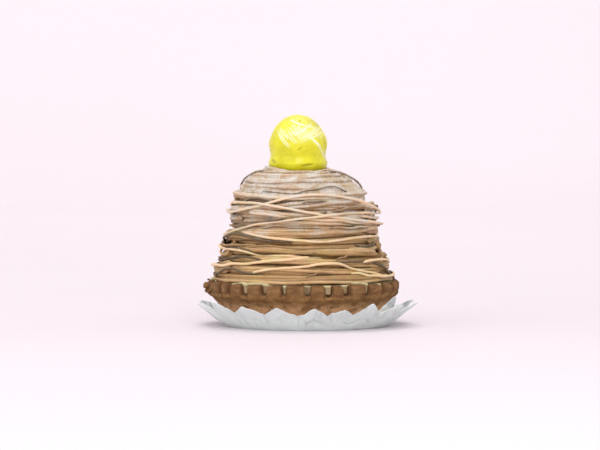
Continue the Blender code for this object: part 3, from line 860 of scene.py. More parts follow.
def slots():
    """Each slot of the rim as (azimuth, half width, height of its round end's centre, fill)."""
    rng = random.Random(SLOT_SEED)
    filled = random.Random(FULL_SLOTS_SEED)
    found = []
    for i in range(CRIMPS):
        angle = TURN * (i + 0.5 + rng.uniform(-SLOT_SHIFT, SLOT_SHIFT)) / CRIMPS + CRIMPS_TURNED
        half_width = SLOT_HALF_WIDTH * rng.uniform(*SLOT_WIDTH_SHARE)
        deeper = rng.uniform(-SLOT_DEPTH_SPREAD, SLOT_DEPTH_SPREAD)
        middle = SHELL_RIM_HEIGHT - SLOT_DEPTH - deeper + half_width
        found.append((angle + math.pi / 2, half_width, middle, filled.random()))
    return found


def nearest_slot(azimuth, cuts):
    """For each azimuth, the arc to the nearest slot's middle, then that slot's own values."""
    arc = np.full(len(azimuth), 1.0)
    values = np.zeros((len(azimuth), 3))
    for angle, *own in cuts:
        away = np.abs((azimuth - angle + math.pi) % TURN - math.pi) * SHELL_RIM_RADIUS
        nearer = away < arc
        arc[nearer] = away[nearer]
        values[nearer] = own
    return arc, *values.T


def rim_top(azimuth, arc, half_width, middle, shoulder):
    """How high the rim stands at each azimuth: a round-ended slot, or a block with rounded, chipped edges."""
    within = np.clip(1 - (arc / half_width) ** 2, 0, None)
    slot_floor = middle - half_width * np.sqrt(within)
    block_top = SHELL_RIM_HEIGHT - BLOCK_ROUNDING * (1 - np.sqrt(1 - shoulder**2))
    uneven = noise(around(azimuth, 6.0, 0.0), 1.0, 23)
    chipped = smooth_step(0.15, 0.6, noise(around(azimuth, 26.0, 0.0), 1.0, 131))
    block_top += UNEVEN_RIM * uneven - CHIP_DEPTH * chipped
    return np.where(arc < half_width, slot_floor, block_top)


def baked_relief(points):
    """How far the baked surface stands out at each point, and how much of a crack lies there."""
    relief = 0.34 * MM * rough(points, 6 * MM, 31) + 0.17 * MM * rough(points, 1.5 * MM, 35)
    blister = smooth_step(0.25, 0.75, noise(points, 2.4 * MM, 39)) * BLISTER_HEIGHT
    cracks = np.clip(1 - np.abs(noise(points * np.array([1.0, 1.0, 1.8]), 3.4 * MM, 137)) / 0.07, 0, 1)
    broken = smooth_step(0.0, 0.5, noise(points, 7 * MM, 139)) * cracks
    return relief + blister - CRACK_DEPTH * broken, broken


def tart_crust(look, cuts, centre_x):
    """The crust bowl with rounded rim blocks and a baked, uneven surface."""
    hidden = straight_line(CRUST_INSIDE, 4 * MM)
    shown = straight_line([CRUST_INSIDE[-1]] + CRUST_OUTSIDE, 0.42 * MM)[1:]
    foot = straight_line([CRUST_OUTSIDE[-1], (0.0, SHELL_BOTTOM)], 5 * MM)[1:]
    profile = np.vstack([hidden, shown, foot])
    columns = CRIMPS * CRUST_COLUMNS_PER_CRIMP
    azimuth, radius, height = turned(profile, columns)
    arc, half_width, middle, _ = nearest_slot(azimuth, cuts)
    shoulder = np.clip(1 - (arc - half_width) / BLOCK_ROUNDING, 0, 1)
    top = rim_top(azimuth, arc, half_width, middle, shoulder)
    lifted = RIM_FOOT + (height - RIM_FOOT) * (top - RIM_FOOT) / (SHELL_RIM_HEIGHT - RIM_FOOT)
    height = np.where(height > RIM_FOOT, lifted, height)
    outside = np.zeros_like(height)
    outside[len(hidden):] = 1.0
    rounding = shoulder * smooth_step(11 * MM, 15 * MM, height) * outside
    radius = radius - 0.55 * MM * rounding**2
    groove = np.exp(-((arc / (1.1 * MM)) ** 2)) * np.exp(-(((height - 12.6 * MM) / (2.0 * MM)) ** 2))
    radius = radius - GROOVE_DEPTH * groove * outside
    points = around(azimuth, radius, height, centre_x).reshape(-1, 3)
    push, broken = baked_relief(points)
    push *= outside.reshape(-1) * np.clip(radius.reshape(-1) / (20 * MM), 0, 1)
    away = around(azimuth, np.ones_like(radius), 0.0).reshape(-1, 3)
    upright = smooth_step(2 * MM, 14 * MM, points[:, 2])
    points += away * push[:, None] * (0.6 + 0.4 * upright)[:, None]
    points[:, 2] += push * 0.35 * smooth_step(16.5 * MM, 18 * MM, points[:, 2])
    edge = shoulder * smooth_step(12.5 * MM, 14.5 * MM, height)
    edge = np.maximum(edge, smooth_step(SHELL_RIM_HEIGHT - 1.2 * MM, SHELL_RIM_HEIGHT, height) * 0.8)
    edge = np.maximum(edge.reshape(-1), 0.8 * broken)
    piece = add_piece(
        "tart_crust_skin", points, quads(len(profile), columns), look, "tart_crust", "tart_shell",
        weld=True, edge=edge,
    )
    piece.data.set_sharp_from_angle(angle=CRUST_SHARP_ANGLE)
    return piece


def squeezed_up(azimuth):
    """How far the filling is squeezed up over the rim at each azimuth."""
    squeezed = np.zeros(len(azimuth))
    for at, half_span, rise in SQUEEZES:
        away = np.abs((azimuth - math.radians(at) + math.pi) % TURN - math.pi)
        share = smooth_step(math.radians(half_span), 0.4 * math.radians(half_span), away)
        squeezed = np.maximum(squeezed, rise * share)
    return squeezed * (0.8 + 0.4 * noise(around(azimuth, 9.0, 0.0), 1.0, 47))


def filling(look, cuts, centre_x):
    """The filling, pressed more or less far into each slot and squeezed up over the rim here and there."""
    middle = straight_line([(0.0, FILLING_TOP), FILLING_SIDE[0]], 4 * MM)
    side = straight_line(FILLING_SIDE, 0.4 * MM)[1:]
    under = straight_line([FILLING_SIDE[-1]] + FILLING_UNDER, 4 * MM)[1:]
    profile = np.vstack([middle, side, under])
    columns = CRIMPS * FILLING_COLUMNS_PER_CRIMP
    azimuth, radius, height = turned(profile, columns)
    arc, half_width, _, fill = nearest_slot(azimuth, cuts)
    in_slot = smooth_step(half_width - 0.1 * MM, half_width - 0.5 * MM, arc)
    browned = in_slot * (0.85 + 0.15 * smooth_step(0.62, 0.38, fill)) * (height < 17.4 * MM)
    reach = smooth_step(13.0 * MM, 14.6 * MM, height) * smooth_step(32 * MM, FILLING_RADIUS, radius)
    over_rim = smooth_step(16.8 * MM, FILLING_TOP, height) * smooth_step(33 * MM, 34.6 * MM, radius)
    rise = squeezed_up(azimuth) * over_rim
    radius = radius + reach * (in_slot * (0.2 + 2.4 * fill) * MM) + 1.1 * rise
    points = around(azimuth, radius, height + rise, centre_x).reshape(-1, 3)
    points += 0.08 * MM * rough(points, 1.2 * MM, 53)[:, None] * np.array([1.0, 1.0, 0.6])
    return add_piece(
        "pale_filling_skin", points, quads(len(profile), columns), look, "pale_filling", "filling",
        weld=True, browned=browned.reshape(-1),
    )


def lean(height):
    """How far the mound's middle lies to the right of the cake's axis at a height."""
    return CROWN_SHIFT * smooth_step(LEAN_BOTTOM, LEAN_TOP, height)


def blurred(grid, reach):
    """Each cell's mean over the square of cells round it; the grid wraps round its columns."""
    padded = np.pad(grid, ((reach, reach), (0, 0)), mode="edge")
    padded = np.pad(padded, ((0, 0), (reach, reach)), mode="wrap")
    side = 2 * reach + 1
    return np.lib.stride_tricks.sliding_window_view(padded, (side, side)).mean(axis=(2, 3))


class Mound:
    """The mound's face and the pile of strands on it, as heights over a grid of azimuth and climb."""

    def __init__(self, centre_x):
        line = smooth_line(FACE, 400)
        self.centre_x = centre_x
        self.climb = np.concatenate([[0], np.cumsum(np.linalg.norm(np.diff(line, axis=0), axis=1))])
        self.radius, self.height = line.T
        along = np.gradient(line, axis=0)
        along /= np.linalg.norm(along, axis=1)[:, None]
        self.out, self.up = along[:, 1], -along[:, 0]
        self.pile = np.zeros((PILE_ROWS, PILE_COLUMNS))
        self.row_size = self.climb[-1] / (PILE_ROWS - 1)
        self.column_size = TURN / PILE_COLUMNS

    def radius_at(self, climb):
        return np.interp(climb, self.climb, self.radius)

    def climb_at_radius(self, radius):
        return float(np.interp(-radius, -self.radius, self.climb))

    def climb_at_height(self, height):
        return np.interp(height, self.height, self.climb)

    def place(self, azimuth, climb, lift):
        """Points over the face, lifted along its normal, with that normal beside each."""
        out, up = np.interp(climb, self.climb, self.out), np.interp(climb, self.climb, self.up)
        normal = around(azimuth, out, up)
        level = np.interp(climb, self.climb, self.height)
        foot = around(azimuth, self.radius_at(climb), level, self.centre_x)
        points = foot + normal * np.reshape(lift, (-1, 1))
        points[:, 0] += lean(points[:, 2])
        return np.hstack([points, normal])

    def evenly(self, azimuth, climb):
        """The same path with points about one step apart."""
        width = self.radius_at((climb[1:] + climb[:-1]) / 2)
        run = np.concatenate([[0], np.cumsum(np.hypot(np.diff(azimuth) * width, np.diff(climb)))])
        wanted = np.linspace(0, run[-1], max(3, round(run[-1] / STRAND_STEP)))
        return np.interp(wanted, run, azimuth), np.interp(wanted, run, climb), wanted

    def under(self, azimuth, climb, seat):
        """The grid cells that a strand's round underside covers, and its depth over each."""
        width = max(self.radius_at(climb), 4 * MM) * self.column_size
        row, column = climb / self.row_size, azimuth / self.column_size
        rows = np.arange(math.ceil(row - seat / self.row_size), row + seat / self.row_size)
        reach = seat / width
        columns = np.arange(math.ceil(column - reach), column + reach)
        rows = rows[(rows >= 0) & (rows < PILE_ROWS)]
        off = ((rows - row) * self.row_size)[:, None] ** 2 + ((columns - column) * width)[None, :] ** 2
        depth = np.sqrt(np.maximum(seat**2 - off, 0))
        return np.ix_(rows.astype(int), columns.astype(int) % PILE_COLUMNS), depth, off < seat**2

    def measure(self, pieces):
        """Makes the pile the true height of the pieces that now lie on the face."""
        trees = trees_of(pieces)
        azimuth = self.column_size * np.arange(PILE_COLUMNS)
        for row in range(PILE_ROWS):
            climb = np.full(PILE_COLUMNS, row * self.row_size)
            high = self.place(azimuth, climb, np.full(PILE_COLUMNS, MEASURE_FROM))[:, :3]
            down = self.place(azimuth, climb, np.zeros(PILE_COLUMNS))[:, :3] - high
            for column in range(PILE_COLUMNS):
                landed = landing(trees, high[column], down[column])
                fallen = np.linalg.norm(landed[0] - high[column]) if landed else MEASURE_FROM
                self.pile[row, column] = max(MEASURE_FROM - fallen, 0)

    def climb_below(self, azimuth, height):
        """The climb from which the pile lifts a thread to each of the given heights."""
        level = blurred(self.pile, THREAD_BLUR)
        columns = np.round(azimuth / self.column_size).astype(int) % PILE_COLUMNS
        climb = self.climb_at_height(height)
        for _ in range(4):
            rows = np.round(climb / self.row_size).astype(int)
            lift = (level[rows, columns] + THREAD_SEAT) * np.interp(climb, self.climb, self.up)
            climb = self.climb_at_height(height - lift)
        return climb

    def lay(self, azimuth, climb, closed=False, seat=STRAND_SEAT, draped=False):
        """Lays a strand on the pile, pressed in a little or draped over it; returns its line and normals."""
        azimuth, climb, run = self.evenly(azimuth, climb)
        lift = np.zeros(len(run))
        for i, (a, c) in enumerate(zip(azimuth, climb)):
            cells, depth, covered = self.under(a, c, seat)
            lift[i] = (self.pile[cells] + depth)[covered].max(initial=0.0)
        kernel = np.hanning(2 * EASE_REACH + 3)[1:-1]
        if draped:
            padded = np.pad(lift - DRAPE_SINK, 2 * EASE_REACH, mode="edge")
            padded = np.lib.stride_tricks.sliding_window_view(padded, 2 * EASE_REACH + 1).max(axis=1)
        else:
            padded = np.pad(SETTLE * lift, EASE_REACH, mode="wrap" if closed else "edge")
        lift = np.convolve(padded, kernel / kernel.sum(), "valid")
        if not closed:
            from_end = np.minimum(run, run[-1] - run)
            lift = np.maximum(lift - END_DIP * np.exp(-from_end / END_DIP_REACH), 0)
        for a, c, height in zip(azimuth, climb, lift):
            cells, depth, covered = self.under(a, c, seat)
            raised = np.maximum(self.pile[cells], height + depth)
            self.pile[cells] = np.where(covered, raised, self.pile[cells])
        return self.place(azimuth, climb, lift)


def ring(climb):
    """A level ring at a climb over the core's face."""
    azimuth = np.linspace(0, TURN, 181)[:-1]
    return azimuth, np.full(len(azimuth), climb)


def zigzag(rng, middle):
    """A back-and-forth run centred on an azimuth, with a round hairpin turn at each side."""
    azimuth, climb = [], []
    side, level = -1, ROW_FIRST
    reach = {s: math.radians(rng.uniform(*HAIRPIN_AZIMUTH)) for s in (-1, 1)}
    turn = np.linspace(0, math.pi, 12)[1:-1]
    for _ in range(ROWS):
        start, end = side * reach[side], -side * reach[-side]
        share = np.linspace(0, 1, 60)
        wave = RUN_WAVE * np.sin(TURN * (share * rng.uniform(0.8, 1.5) + rng.random()))
        azimuth.append(middle + start + (end - start) * share)
        climb.append(level + rng.uniform(*ROW_DRIFT) * share + wave * np.sin(math.pi * share))
        level, side = climb[-1][-1], -side
        bulge = HAIRPIN_RADIUS / (27 * MM)
        azimuth.append(middle + end + side * bulge * np.sin(turn))
        climb.append(level + HAIRPIN_RADIUS * (1 - np.cos(turn)))
        level += 2 * HAIRPIN_RADIUS
        reach[side] = math.radians(rng.uniform(*HAIRPIN_AZIMUTH))
    return np.concatenate(azimuth[:-1]), np.concatenate(climb[:-1])


def loose_strand(rng, middle, half_span, level, rise):
    """A single gently bowed strand across the mound."""
    share = np.linspace(-1, 1, 80)
    azimuth = math.radians(middle) + math.radians(half_span) * share
    bow = rng.uniform(-1.0, 1.0) * MM
    return azimuth, level + rise * share / 2 + bow * (1 - share**2)


def strand_lines(mound):
    """Every strand's line in the order of laying, grouped by piece, each with whether it is closed."""
    rng = random.Random(WINDING_SEED)
    crown_end = mound.climb_at_radius(CROWN_END_RADIUS)
    rings = [FOOT_RING] + [crown_end - i * RING_PITCH for i in range(CROWN_RINGS)]
    groups = {"cream_rings": [(mound.lay(*ring(climb), closed=True), True) for climb in rings]}
    runs = [zigzag(rng, middle) for middle in (0.0, math.pi)]
    runs += [loose_strand(rng, *strand) for strand in LOOSE_STRANDS]
    laid = [(mound.lay(*run), False) for run in runs]
    groups["cream_front_winding"] = laid[:1]
    groups["cream_back_winding"] = laid[1:2]
    groups["cream_loose_strands"] = laid[2:]
    return groups


def frames(line, closed):
    """Unit vectors along a line, away from the mound and across both, at each of its points."""
    centre, normal = line[:, :3], line[:, 3:]
    if closed:
        along = np.roll(centre, -1, axis=0) - np.roll(centre, 1, axis=0)
    else:
        along = np.gradient(centre, axis=0)
    along /= np.linalg.norm(along, axis=1)[:, None]
    normal = normal - (normal * along).sum(axis=1)[:, None] * along
    normal /= np.linalg.norm(normal, axis=1)[:, None]
    return along, normal, np.cross(along, normal)


def bundled(lines, seed, reach=BUNDLE_REACH, radii=BUNDLE_RADII):
    """The thinner strands, side by side and slowly twisting, that make up each laid strand."""
    rng = np.random.default_rng(seed)
    made = []
    for line, closed in lines:
        step = np.linalg.norm(np.diff(line[:, :3], axis=0, append=line[:1, :3]), axis=1)
        length = step.sum() if closed else step[:-1].sum()
        run = np.concatenate([[0], np.cumsum(step[:-1])])
        share = run / length
        turns = rng.integers(-1, 2) if closed else rng.uniform(-1, 1) * length / BUNDLE_TWIST
        _, normal, across = frames(line, closed)
        base, start = 0.48 + 0.08 * rng.normal(), rng.uniform(0, TURN)
        for i in range(BUNDLE_COUNT):
            angle = start + TURN * (i / BUNDLE_COUNT + turns * share)
            for waves in (2, 5):
                angle = angle + 0.3 * np.sin(TURN * (waves * share + rng.random()))
            away = normal * np.cos(angle)[:, None] + across * np.sin(angle)[:, None]
            centre = line[:, :3] + away * reach * rng.uniform(0.85, 1.08)
            tone = base + 0.07 * rng.normal() + rng.choice([-0.14, 0.0, 0.16], p=[0.2, 0.6, 0.2])
            path = np.hstack([centre, away])
            if not closed:
                first, last = rng.uniform(0, END_TRIM, 2)
                from_end = np.minimum(run - first, length - last - run)
                path[:, :3] -= normal * END_SINK * np.exp(-from_end / END_SINK_REACH)[:, None]
                path = path[from_end >= 0]
            made.append(Strand(path, closed, rng.uniform(*radii), tone))
    return made


def seen_place(x, seen):
    """The azimuth in degrees and the height of a thread that the front view shows at (x, seen), in mm."""
    radii, levels = np.array(FACE).T / MM
    level = seen
    for _ in range(10):
        radius = np.interp(level - 1.0, levels, radii) + THREAD_STAND
        azimuth = math.asin(max(-1, min(1, x / radius)))
        level = seen + math.tan(VIEW_ELEVATION) * radius * math.cos(azimuth)
    return math.degrees(azimuth), level


def seen_thread(before, points, after):
    """A thread seen from the front, as evenly spaced azimuths and its heights there."""
    azimuths, levels = zip(*(seen_place(*point) for point in points))
    span = azimuths[-1] - azimuths[0]
    count = next(knots for limit, knots in THREAD_KNOTS if span < limit)
    spread = np.linspace(azimuths[0], azimuths[-1], count).tolist()
    heights = np.interp(spread, azimuths, levels).tolist()
    step = span / (count - 1)
    if before is not None:
        spread.insert(0, spread[0] - step)
        heights.insert(0, heights[0] + before)
    if after is not None:
        spread.append(spread[-1] + step)
        heights.append(heights[-1] + after)
    return spread, heights


def threads(mound, seen, radius, tone, seed):
    """Single thin strands over the bundles: those seen in front, and a few by chance behind."""
    rng = random.Random(seed)
    paths = [seen_thread(*thread) for thread in seen]
    for _ in range(BACK_THREADS):
        middle, half = rng.uniform(*BACK_MIDDLES), rng.uniform(*BACK_HALF_SPANS)
        start = rng.uniform(*BACK_HEIGHTS)
        end = start + rng.uniform(*BACK_RISES)
        heights = [start, (start + end) / 2 + rng.uniform(*THREAD_WANDER), end]
        paths.append(([middle - half, middle, middle + half], heights))
    made = []
    for spread, heights in paths:
        if -THREAD_SIDE > spread[0] > -180:
            spread.insert(0, spread[0] - rng.uniform(*THREAD_CARRIED))
            heights.insert(0, heights[0] + rng.uniform(*THREAD_WANDER))
        if THREAD_SIDE < spread[-1] < 180:
            spread.append(spread[-1] + rng.uniform(*THREAD_CARRIED))
            heights.append(heights[-1] + rng.uniform(*THREAD_WANDER))
        known = np.column_stack([np.radians(spread), heights])
        azimuth, height = smooth_line(known, THREAD_POINTS).T
        wave = 0.2 * np.sin(TURN * (2.3 * np.linspace(0, 1, THREAD_POINTS) + rng.random()))
        climb = mound.climb_below(azimuth, (height + wave) * MM)
        line = mound.lay(azimuth, climb, seat=THREAD_SEAT, draped=True)
        made.append(Strand(line, False, radius * rng.uniform(0.85, 1.15), tone + rng.uniform(-0.06, 0.06)))
    return made


def shoulder_threads(mound):
    """Thin strands that slant from the crown down over its shoulders."""
    start = mound.climb_at_radius(SHOULDER_START_RADIUS)
    share = np.linspace(0, 1, 40)
    made = []
    for first, last, end in SHOULDER_THREADS:
        climb = start + (mound.climb_at_height(end * MM) - start) * share
        azimuth = np.radians(first + (last - first) * share**0.8)
        line = mound.lay(azimuth, climb, seat=THREAD_SEAT, draped=True)
        made.append(Strand(line, False, BROWN_THREAD_RADIUS, SHOULDER_TONE))
    return made


def nest(chestnut_x):
    """The uneven lip of cream round the chestnut's foot, low in front and high at its left."""
    azimuth = np.linspace(0, TURN, 121)[:-1]
    from_front = (azimuth - math.radians(18) + math.pi) % TURN - math.pi
    from_left = (azimuth - math.radians(-78) + math.pi) % TURN - math.pi
    height = NEST_HEIGHT - 1.3 * MM * np.exp(-((from_front / 0.8) ** 2))
    height += 0.7 * MM * np.exp(-((from_left / 0.7) ** 2))
    radius = NEST_RADIUS + 0.3 * MM * np.sin(3 * azimuth + 1.0)
    points = around(azimuth, radius, height, chestnut_x)
    return np.hstack([points, around(azimuth, *LIP_NORMAL)])


def foot_turn(centre_x):
    """The last thin turn of cream, wandering over the rim's inner edge."""
    azimuth = np.linspace(0, TURN, 181)[:-1]
    wander = noise(around(azimuth, 4.0, 0.0), 1.0, 101)
    height = FOOT_HEIGHT + 0.2 * MM * np.sin(7 * azimuth)
    points = around(azimuth, FOOT_RADIUS + 0.6 * MM * wander, height, centre_x)
    return np.hstack([points, around(azimuth, *FOOT_TURN_NORMAL)])


def under_rings(mound):
    """Wandering rings half sunk in the core, which show in the gaps between the strands."""
    rng = random.Random(WINDING_SEED + 1)
    last = mound.climb_at_radius(UNDER_END_RADIUS)
    made = []
    for i in range(round((last - FOOT_RING) / UNDER_PITCH) + 1):
        azimuth = np.linspace(0, TURN, 361)[:-1]
        wander = sum(
            rng.uniform(0.15, 0.45) * MM * np.sin(k * azimuth + rng.uniform(0, TURN)) for k in (1, 2, 3)
        )
        climb = np.clip(FOOT_RING + i * UNDER_PITCH + wander, 0.3 * MM, None)
        lift = UNDER_LIFT + 0.25 * MM * np.sin(2 * azimuth + rng.uniform(0, TURN))
        made.append(Strand(mound.place(azimuth, climb, lift), True, UNDER_RADIUS, rng.uniform(0.34, 0.52)))
    return made


def tube(strand, spacing, seed, nick_gap):
    """The points, faces and tones of one strand of soft paste: ridged, uneven and nicked here and there."""
    rng = np.random.default_rng(seed)
    line, closed, radius, base_tone = strand
    if closed:
        line = np.vstack([line, line[:1]])
    length = np.linalg.norm(np.diff(line[:, :3], axis=0), axis=1).sum()
    line = smooth_line(line, round(length / spacing))
    if closed:
        line = line[:-1]
    centre = line[:, :3]
    _, normal, across = frames(line, closed)
    rows, sides = len(centre), STRAND_SIDES
    run = np.arange(rows) * spacing
    angle = TURN * np.arange(sides) / sides
    size = np.ones((rows, sides))
    for waves in (3, 4):
        drift = rng.uniform(0, TURN) + 0.6 * np.sin(run / (9 * MM) + rng.uniform(0, TURN))
        size += 0.03 * np.cos(waves * angle[None, :] + drift[:, None])
    size *= 1 + 0.10 * noise(centre + seed * 0.011, 6 * MM, 61)[:, None]
    nick = rng.uniform(*nick_gap)
    while nick < run[-1] - 2 * MM:
        width, depth = rng.uniform(0.25, 0.5) * MM, rng.uniform(0.08, 0.22)
        facing = np.clip(np.cos(angle - rng.uniform(-1.6, 1.6)), 0, 1) ** 1.5
        slant = rng.uniform(-0.5, 0.5) * MM * np.sin(angle)
        size -= depth * np.exp(-(((run[:, None] - nick - slant[None, :]) / width) ** 2)) * facing[None, :]
        nick += rng.uniform(*nick_gap)
    if not closed:
        from_end = np.minimum(run, run[-1] - run)
        ending = np.clip(from_end / (4.5 * radius), 0.02, 1)
        size *= np.sqrt(1 - (1 - ending) ** 2)[:, None]
    reach = radius * size[:, :, None]
    turn = angle[None, :, None]
    spoke = normal[:, None, :] * np.cos(turn) + across[:, None, :] * np.sin(turn)
    points = (centre[:, None, :] + spoke * reach).reshape(-1, 3)
    bumps = 0.05 * MM * rough(points, 1.3 * MM, 67) + 0.02 * MM * noise(points, 0.5 * MM, 71)
    points += spoke.reshape(-1, 3) * bumps[:, None]
    faces = quads(rows, sides, wrap_rows=closed)
    if not closed:
        faces += [list(range(sides))[::-1], list(range((rows - 1) * sides, rows * sides))]
    streak_at = centre[:, None, :] / (8 * MM) + seed * 1.7
    streak_at = streak_at + 1.3 * np.stack([np.cos(angle), np.sin(angle), 0 * angle], axis=-1)[None, :, :]
    return points, faces, base_tone + 0.09 * noise(streak_at.reshape(-1, 3), 1.0, 73)


def strands(name, made_of, look, seed, spacing=STRAND_SPACING, nick_gap=NICK_GAP):
    """One piece made of many strands."""
    points, faces, tones, start = [], [], [], 0
    for i, strand in enumerate(made_of):
        made, made_faces, tone = tube(strand, spacing, seed + i, nick_gap)
        points.append(made)
        faces += [[start + corner for corner in face] for face in made_faces]
        tones.append(tone)
        start += len(made)
    return cream_piece(name, np.vstack(points), faces, look, np.concatenate(tones))


def cream_piece(name, points, faces, look, tone, weld=False):
    """One of the pieces that make up the cream, with a tone for each point or for all."""
    tones = np.broadcast_to(tone, len(points))
    return add_piece(name, points, faces, look, "chestnut_cream", "chestnut_cream", weld=weld, tone=tones)


def cream_core(look, mound):
    """The smooth mass under the strands."""
    side = smooth_line(FACE, CORE_ROWS)
    profile = np.vstack([[(0.0, CREAM_BOTTOM), (side[0][0] - 0.4 * MM, CREAM_BOTTOM)], side])
    azimuth, radius, height = turned(profile, CORE_COLUMNS)
    points = around(azimuth, radius, height, mound.centre_x).reshape(-1, 3)
    points[:, 0] += lean(points[:, 2])
    return cream_piece("cream_core", points, quads(len(profile), CORE_COLUMNS), look, CORE_TONE, weld=True)


def crown_drift(look, mound):
    """The soft cream and sugar between the crown's strands, about as high as their backs."""
    first = round(mound.climb_at_height(DRIFT_BOTTOM) / mound.row_size)
    last = round(mound.climb_at_radius(DRIFT_END_RADIUS) / mound.row_size)
    level = blurred(mound.pile, round(DRIFT_BLUR / mound.row_size))[first:last]
    azimuth = mound.column_size * np.arange(PILE_COLUMNS)
    spread, up = (grid.reshape(-1) for grid in np.meshgrid(azimuth, mound.row_size * np.arange(first, last)))
    full = smooth_step(DRIFT_BOTTOM, DRIFT_FULL, np.interp(up, mound.climb, mound.height))
    bumps = 0.3 * MM * rough(around(spread, 24 * MM + 0 * up, up), 5 * MM, 107)
    lift = (level.reshape(-1) + DRIFT_RISE + bumps) * full - 1.2 * MM * (1 - full)
    points = mound.place(spread, up, lift)[:, :3]
    low_end = around(azimuth, 0.0, DRIFT_BOTTOM, mound.centre_x)
    high_end = around(azimuth, 0.0, mound.height[-1], mound.centre_x + CROWN_SHIFT)
    points = np.vstack([low_end, points, high_end])
    mound.pile[first:last] = np.maximum(mound.pile[first:last], lift.reshape(level.shape))
    faces = quads(last - first + 2, PILE_COLUMNS)
    return cream_piece("cream_crown_drift", points, faces, look, DRIFT_TONE, weld=True)


def chestnut_profile():
    return np.vstack([smooth_line(CHESTNUT_OUTLINE[:-1], CHESTNUT_ROWS), [CHESTNUT_OUTLINE[-1]]])


def in_front(strokes):
    """Strokes given as seen from the front, as (arc, height) to (arc, height) and half width in metres."""
    radius, height = chestnut_profile()[:-1].T
    placed = []
    for x0, z0, x1, z1, width in strokes:
        ends = []
        for x, z in ((x0, z0), (x1, z1)):
            share = x * MM / max(np.interp(z * MM, height[::-1], radius[::-1]), MM)
            ends += [MARK_ARC_RADIUS * math.asin(max(-0.98, min(0.98, share))), z * MM]
        placed.append((*ends, width * MM))
    return placed


def glaze_strokes():
    """Every streak of painted highlight, in front and behind."""
    rng = random.Random(HIGHLIGHT_STREAK_SEED)
    strokes = list(HIGHLIGHT_STROKES)
    for count, first, last, width in HIGHLIGHT_STREAK_SETS:
        for share in np.arange(count) / (count - 1):
            x0, z0, x1, z1 = (a + (b - a) * share + rng.uniform(-0.4, 0.4) for a, b in zip(first, last))
            start, end = rng.uniform(0, 0.25), rng.uniform(0.7, 1.1)
            across, rise = x1 - x0, z1 - z0
            stroke = (x0 + across * start, z0 + rise * start, x0 + across * end, z0 + rise * end)
            strokes.append((*stroke, width * rng.uniform(0.7, 1.4)))
    placed = in_front(strokes)
    for count, azimuth, height, slant in HIGHLIGHT_STREAKS_BEHIND:
        for i in range(count):
            away = (i - (count - 1) / 2) * HIGHLIGHT_STREAK_GAP + rng.uniform(-0.2, 0.2) * MM
            slope, half = math.radians(slant + rng.uniform(-6, 6)), rng.uniform(1.8, 3.6) * MM
            arc = math.radians(azimuth) * MARK_ARC_RADIUS - away * math.sin(slope)
            level = height * MM + away * math.cos(slope)
            along, rise = half * math.cos(slope), half * math.sin(slope)
            width = rng.uniform(0.12, 0.26) * MM
            placed.append((arc - along, level - rise, arc + along, level + rise, width))
    return placed


def stroked(points, strokes):
    """How far each point of the chestnut lies within the strokes, from 0 to 1."""
    whole = TURN * MARK_ARC_RADIUS
    arc = np.arctan2(points[:, 0], -points[:, 1]) * MARK_ARC_RADIUS
    found = np.zeros(len(points))
    for arc_0, height_0, arc_1, height_1, width in strokes:
        length = math.hypot(arc_1 - arc_0, height_1 - height_0)
        toward_x, toward_z = (arc_1 - arc_0) / length, (height_1 - height_0) / length
        across = (arc - arc_0 + whole / 2) % whole - whole / 2
        rise = points[:, 2] - height_0
        share = (across * toward_x + rise * toward_z) / length
        off = np.abs(rise * toward_x - across * toward_z)
        taper = np.clip(4 * share * (1 - share), 0, 1) ** 0.4
        found = np.maximum(found, taper * np.clip(1.6 - off / width, 0, 1))
    return found


def candied_chestnut(look, centre_x):
    """The chestnut: a rounded dome with shallow folds, a few dents, streaks of painted highlight and a spread
    foot.
    """
    profile = chestnut_profile()
    points = around(*turned(profile, CHESTNUT_COLUMNS)).reshape(-1, 3)
    points[:, 0] *= 1 + 0.03 * np.sin(3 * np.arctan2(points[:, 1], points[:, 0]))
    points[:, 1] *= CHESTNUT_DEPTH_SHARE
    outward = points - np.array([0.0, 0.0, CHESTNUT_MIDDLE])
    outward /= np.linalg.norm(outward, axis=1)[:, None]
    folds = 1 - 2 * np.abs(noise(points * np.array([1.0, 1.0, 0.35]), 5.5 * MM, 83))
    push = 0.38 * MM * noise(points, 9 * MM, 79) + 0.16 * MM * folds + 0.05 * MM * rough(points, 2 * MM, 89)
    dents = stroked(points, in_front(HOLLOWS))
    push -= HOLLOW_DEPTH * dents
    # Dark marks in the dents; painted shade in the folds' valleys
    hollow = 0.25 * smooth_step(0.1, -0.6, folds) + 0.85 * dents
    x, z, radius = SWIRL
    from_swirl = np.hypot(points[:, 0] / MM - x, (points[:, 2] / MM - z) * 1.15)
    swirl = np.exp(-(((from_swirl - radius) / 0.45) ** 2)) * (points[:, 1] < 0)
    push += 0.10 * MM * swirl
    # Painted shade: darker towards the foot, where it sits in the cream
    hollow += 0.6 * smooth_step(63.0 * MM, 61.0 * MM, points[:, 2])
    # Painted highlight: pale, slightly raised streaks, and a faint haze in front
    glaze = stroked(points, glaze_strokes()) * np.clip(1 - 2 * dents, 0, 1)
    push += HIGHLIGHT_STREAK_RISE * glaze
    x, z, half_width, half_height, share = HIGHLIGHT_HAZE
    off = ((points[:, 0] / MM - x) / half_width) ** 2 + ((points[:, 2] / MM - z) / half_height) ** 2
    glaze = np.maximum(glaze, share * np.exp(-off) * (points[:, 1] < 0))
    settle = smooth_step(60.6 * MM, 63.0 * MM, points[:, 2])
    points += outward * (push * settle)[:, None]
    points[:, 0] += centre_x
    return add_piece(
        "candied_chestnut_skin", points, quads(len(profile), CHESTNUT_COLUMNS), look, "candied_chestnut",
        "candied_chestnut", weld=True, hollow=np.clip(hollow, 0, 1), glaze=glaze,
    )


def trees_of(pieces):
    graph = bpy.context.evaluated_depsgraph_get()
    return [BVHTree.FromObject(piece, graph) for piece in pieces]


